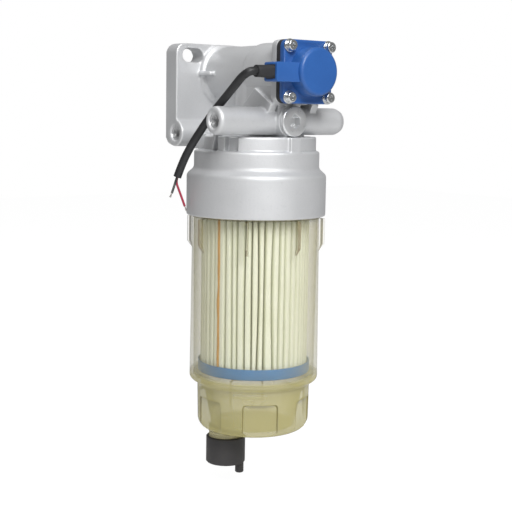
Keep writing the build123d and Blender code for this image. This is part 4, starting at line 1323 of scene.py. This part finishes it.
@dataclass
class PumpLead:
    """The pump's lead: a limp round cable that hangs from the arm, with two cores bared at its cut end.

    Attributes:
        diameter: Across the jacket, in mm.
        length: Length of the jacket.
        wire_diameter: Across a core.
        core_gap: What each core leaves to the jacket's middle.
        core_run: How far a core runs straight on.
        strand_radius: Radius of one bare strand.
        strands: Strands in a core.
        fan: How far the strands spread.
        route: The jacket's control points.
        wires: The two cores.
    """

    diameter: float = 6.5
    length: float = 124.7
    wire_diameter: float = 1.9
    core_gap: float = 0.2
    core_run: float = 4.0
    strand_radius: float = 0.2
    strands: int = 7
    fan: float = 0.4
    route: tuple[Place, ...] = (
        (-49.2, -60.95, 62.2),
        (-53.4, -60.95, 62.2),
        (-56.3, -58.8, 60.5),
        (-57.2, -53.5, 57.4),
        (-57.8, -46.5, 51.4),
        (-54.9, -31.0, 43.0),
        (-53.8, -13.5, 31.5),
        (-57.0, -1.5, 17.5),
        (-62.0, 6.0, 4.0),
        (-66.0, 12.0, -9.5),
        (-69.0, 15.0, -21.5),
    )
    wires: tuple[BaredWire, ...] = (
        BaredWire(
            "wire_red",
            0.8,
            "red_insulation",
            bend=(3.0, 2.0, -11.0),
            end=(9.0, 2.6, -24.0),
            tip=(10.85, 2.78, -28.0),
        ),
        BaredWire(
            "wire_black",
            -0.8,
            "black_insulation",
            bend=(-1.5, 1.0, -6.0),
            end=(-5.5, -1.0, -12.5),
            tip=(-7.8, -2.0, -15.8),
        ),
    )

    def curve(self, name: str, points: np.ndarray, diameter: float) -> bpy.types.Object:
        """A smooth round curve on the given control points.

        Args:
            name: The object's name.
            points: Control points in mm.
            diameter: Across the curve, in mm.

        Returns:
            The curve object.
        """
        data = bpy.data.curves.new(name, "CURVE")
        data.dimensions = "3D"
        data.bevel_depth = diameter * MM / 2
        data.bevel_resolution = 5
        data.use_fill_caps = True
        data.resolution_u = 12
        spline = data.splines.new("NURBS")
        spline.points.add(len(points) - 1)
        for point, place in zip(spline.points, placed(points)):
            point.co = (*place, 1.0)
        spline.order_u = 3
        spline.use_endpoint_u = True
        return linked(name, data)

    def bared(
        self, node: str, end: np.ndarray, tip: np.ndarray, along: np.ndarray, side: np.ndarray
    ) -> bpy.types.Object:
        """A core's bare strands: thin tubes whose distance from its middle grows with the square of the way.

        Args:
            node: The core's CAD node.
            end: Where its insulation ends.
            tip: Where its strands end.
            along: Direction in which the jacket ends.
            side: Direction from core to core.

        Returns:
            The strands' object.
        """
        form = Form(node + "_bare")
        share = np.linspace(-0.15, 1, 8)[:, None]
        for strand in range(self.strands):
            angle = 2 * np.pi * strand / self.strands
            fan = self.fan * side * np.cos(angle) + self.fan * np.cross(along, side) * np.sin(angle)
            form.tube(end + (tip - end) * share + fan * (0.9 + share**2), self.strand_radius, 6)
        return dressed(form.build(), "tinned_copper", "head", node + "_strands")

    def make(self) -> None:
        """Builds the cable, its cores and their bared strands."""
        route = np.array(self.route)
        cable = dressed(self.curve("pump_cable", route, self.diameter), "cable_rubber", "head", "cable")
        along = route[-1] - route[-2]
        along /= np.linalg.norm(along)
        side = np.array([along[1], -along[0], 0.0])
        side /= np.linalg.norm(side)
        for wire in self.wires:
            root = route[-1] + side * wire.side * (self.wire_diameter / 2 + self.core_gap)
            bend, end, tip = (root + np.array(step) for step in (wire.bend, wire.end, wire.tip))
            line = np.array([root, root + along * self.core_run, bend, end])
            core = self.curve(wire.node + "_core", line, self.wire_diameter)
            dressed(core, wire.slot, "head", wire.node)
            self.bared(wire.node, end, tip, along, side)


@dataclass(frozen=True)
class PhotoCamera:
    """The photograph's camera, fitted to its edges.

    Attributes:
        azimuth: Angle round the bowl's axis, in degrees.
        pitch: Angle above the level.
        roll: Turn of the picture.
        distance: From the aimed point, in mm.
        sideways: How far to the right of the axis the camera aims.
        aim_height: Height it aims at, above the collar's top.
        focal_pixels: Focal length, in the photograph's pixels.
        picture_pixels: Width of the photograph.
        sensor: Width of the camera's sensor, in mm.
    """

    azimuth: float = -37.83
    pitch: float = 7.18
    roll: float = 0.90
    distance: float = 944.55
    sideways: float = 0.73
    aim_height: float = -88.39
    focal_pixels: float = 1124.5
    picture_pixels: float = 512.0
    sensor: float = 36.0

    def make(self) -> None:
        """Aims the camera at a point on the bowl's axis from the fitted direction."""
        turn, tilt, roll = (math.radians(value) for value in (self.azimuth, self.pitch, self.roll))
        right = Vector((math.cos(turn), math.sin(turn), 0))
        back = Vector((math.sin(turn) * math.cos(tilt), -math.cos(turn) * math.cos(tilt), math.sin(tilt)))
        up = back.cross(right)
        aim = right * self.sideways + Vector((0, 0, self.aim_height)) + Vector(COLLAR_CENTRE)
        rolled_right = right * math.cos(roll) + up * math.sin(roll)
        rolled_up = up * math.cos(roll) - right * math.sin(roll)
        eye = (aim + back * self.distance) * MM
        data = bpy.data.cameras.new("photo_camera")
        data.sensor_width = self.sensor
        data.lens = self.focal_pixels / self.picture_pixels * self.sensor
        camera = linked("photo_camera", data)
        axes = Matrix((rolled_right, rolled_up, back)).transposed()
        camera.matrix_world = Matrix.Translation(eye) @ axes.to_4x4()
        bpy.context.scene.camera = camera


@dataclass(frozen=True)
class Lamp:
    """A square area lamp.

    Attributes:
        name: The lamp's name.
        place: Where it hangs, in metres.
        watts: Its power.
        size: Its side, in metres.
    """

    name: str
    place: Place
    watts: float
    size: float = 0.8

    def make(self, aim: Place) -> None:
        """Hangs the lamp and turns it towards a point."""
        data = bpy.data.lights.new(self.name, "AREA")
        data.size = self.size
        data.energy = self.watts
        turned = (Vector(aim) - Vector(self.place)).to_track_quat("-Z", "Y").to_matrix().to_4x4()
        linked(self.name, data).matrix_world = Matrix.Translation(self.place) @ turned


@dataclass
class Studio:
    """A white studio: a pale floor, a soft key in front, a weak lamp on the right and one overhead.

    Attributes:
        floor_height: Height of the floor, in metres.
        floor_size: Its side.
        floor_tone: Its grey, where light falls on it.
        floor_glow: Strength of the white that the camera sees.
        floor_share: How much of what the camera sees is that white, the rest being lit grey with its shadow.
        room_light: Strength of the world as the part's light.
        aim: Where the lamps point.
        lamps: The lamps.
    """

    floor_height: float = -0.365
    floor_size: float = 6.0
    floor_tone: float = 0.80
    floor_glow: float = 1.12
    floor_share: float = 0.86
    room_light: float = 0.22
    aim: Place = (0, -0.07, -0.14)
    lamps: tuple[Lamp, ...] = (
        Lamp("key", (-0.52, -1.35, 0.95), 31.0),
        Lamp("side", (1.5, -0.4, 0.5), 0.4),
        Lamp("top", (-0.3, 0.2, 1.5), 7.0),
    )

    def make(self) -> None:
        """Builds the world, the floor and the lamps."""
        bpy.context.scene.view_settings.view_transform = "Standard"
        self.world()
        self.floor()
        for lamp in self.lamps:
            lamp.make(self.aim)

    def world(self) -> None:
        """A world that is white to the camera and dimmer as light on the part."""
        world = bpy.data.worlds.new("white_studio")
        world.use_nodes = True
        bpy.context.scene.world = world
        bench = NodeBench(world.node_tree)
        strength = bench.seen_directly() * (1 - self.room_light) + self.room_light
        back = bench.node("ShaderNodeBackground", None, {"Color": (1.0, 1.0, 1.0), "Strength": strength})
        bench.node("ShaderNodeOutputWorld", None, {"Surface": back.outputs[0]})

    def floor(self) -> None:
        """A pale floor that looks white to the camera and keeps a light shadow."""
        half = self.floor_size / 2
        mesh = bpy.data.meshes.new("floor")
        signs = ((-1, -1), (1, -1), (1, 1), (-1, 1))
        corners = [(half * x, half * y, self.floor_height) for x, y in signs]
        mesh.from_pydata(corners, [], [(0, 1, 2, 3)])
        floor = linked("floor", mesh)
        bench = ShaderBench("floor_finish")
        lit = bench.node("ShaderNodeBsdfDiffuse", None, {"Color": (self.floor_tone,) * 3})
        glow = {"Color": (1.0, 1.0, 1.0), "Strength": self.floor_glow}
        white = bench.node("ShaderNodeEmission", None, glow)
        share = bench.seen_directly() * self.floor_share
        both = bench.node("ShaderNodeMixShader", None, {0: share, 1: lit.outputs[0], 2: white.outputs[0]})
        bench.node("ShaderNodeOutputMaterial", None, {"Surface": both.outputs[0]})
        floor.data.materials.append(bench.material)


SOFTENED = (
    SoftenedPiece("pump_cover", "pump_cover_body", "pump_blue", "head", 0.5),
    SoftenedPiece("pump_gasket", "pump_gasket_body", "black_rubber", "head", 0.35),
    SoftenedPiece("cover_screws", "cover_screw_set", "zinc_steel", "head", 0.25),
    SoftenedPiece("cover_flat_washers", "flat_washer_set", "zinc_steel", "head", 0.12),
    SoftenedPiece("cover_spring_washers", "spring_washer_set", "zinc_steel", "head", 0.12),
    SoftenedPiece("front_plug", "front_plug_body", "nickel_steel", "head", 0.3),
    SoftenedPiece("plug_washer", "plug_washer_body", "soft_aluminium", "head", 0.15),
    SoftenedPiece("side_plug", "side_plug_body", "dark_steel", "head", 0.25),
    SoftenedPiece("drain_knob", "drain_knob_body", "dark_plastic", "drain_knob", 0.35),
    SoftenedPiece("cable_grommet", "cable_boot", "black_rubber", "head", 0.5),
    SoftenedPiece("element_bottom_cap", "element_foot_cap", "blue_plastic", "head", 0.3),
)


def dress_nodes() -> None:
    """Gives each CAD node that still shows the finish of its material slot."""
    slots = {entry["node"]: entry["material_slot"] for entry in frame["record"]["subparts"]}
    for name, node in frame["nodes"].items():
        node.data.materials.clear()
        node.data.materials.append(material_of(slots[name]))


def main() -> None:
    """Builds the camera, the lead and each sub-assembly in order."""
    logging.basicConfig(level=logging.INFO, format="%(name)s %(message)s")
    PhotoCamera().make()
    PumpLead().make()
    dress_nodes()
    HeadCasting().make()
    ClearBowl().make()
    FilterElement().make()
    for piece in SOFTENED:
        piece.make()
    CheckSpring().make()
    Studio().make()


if __name__ == "__main__":
    main()
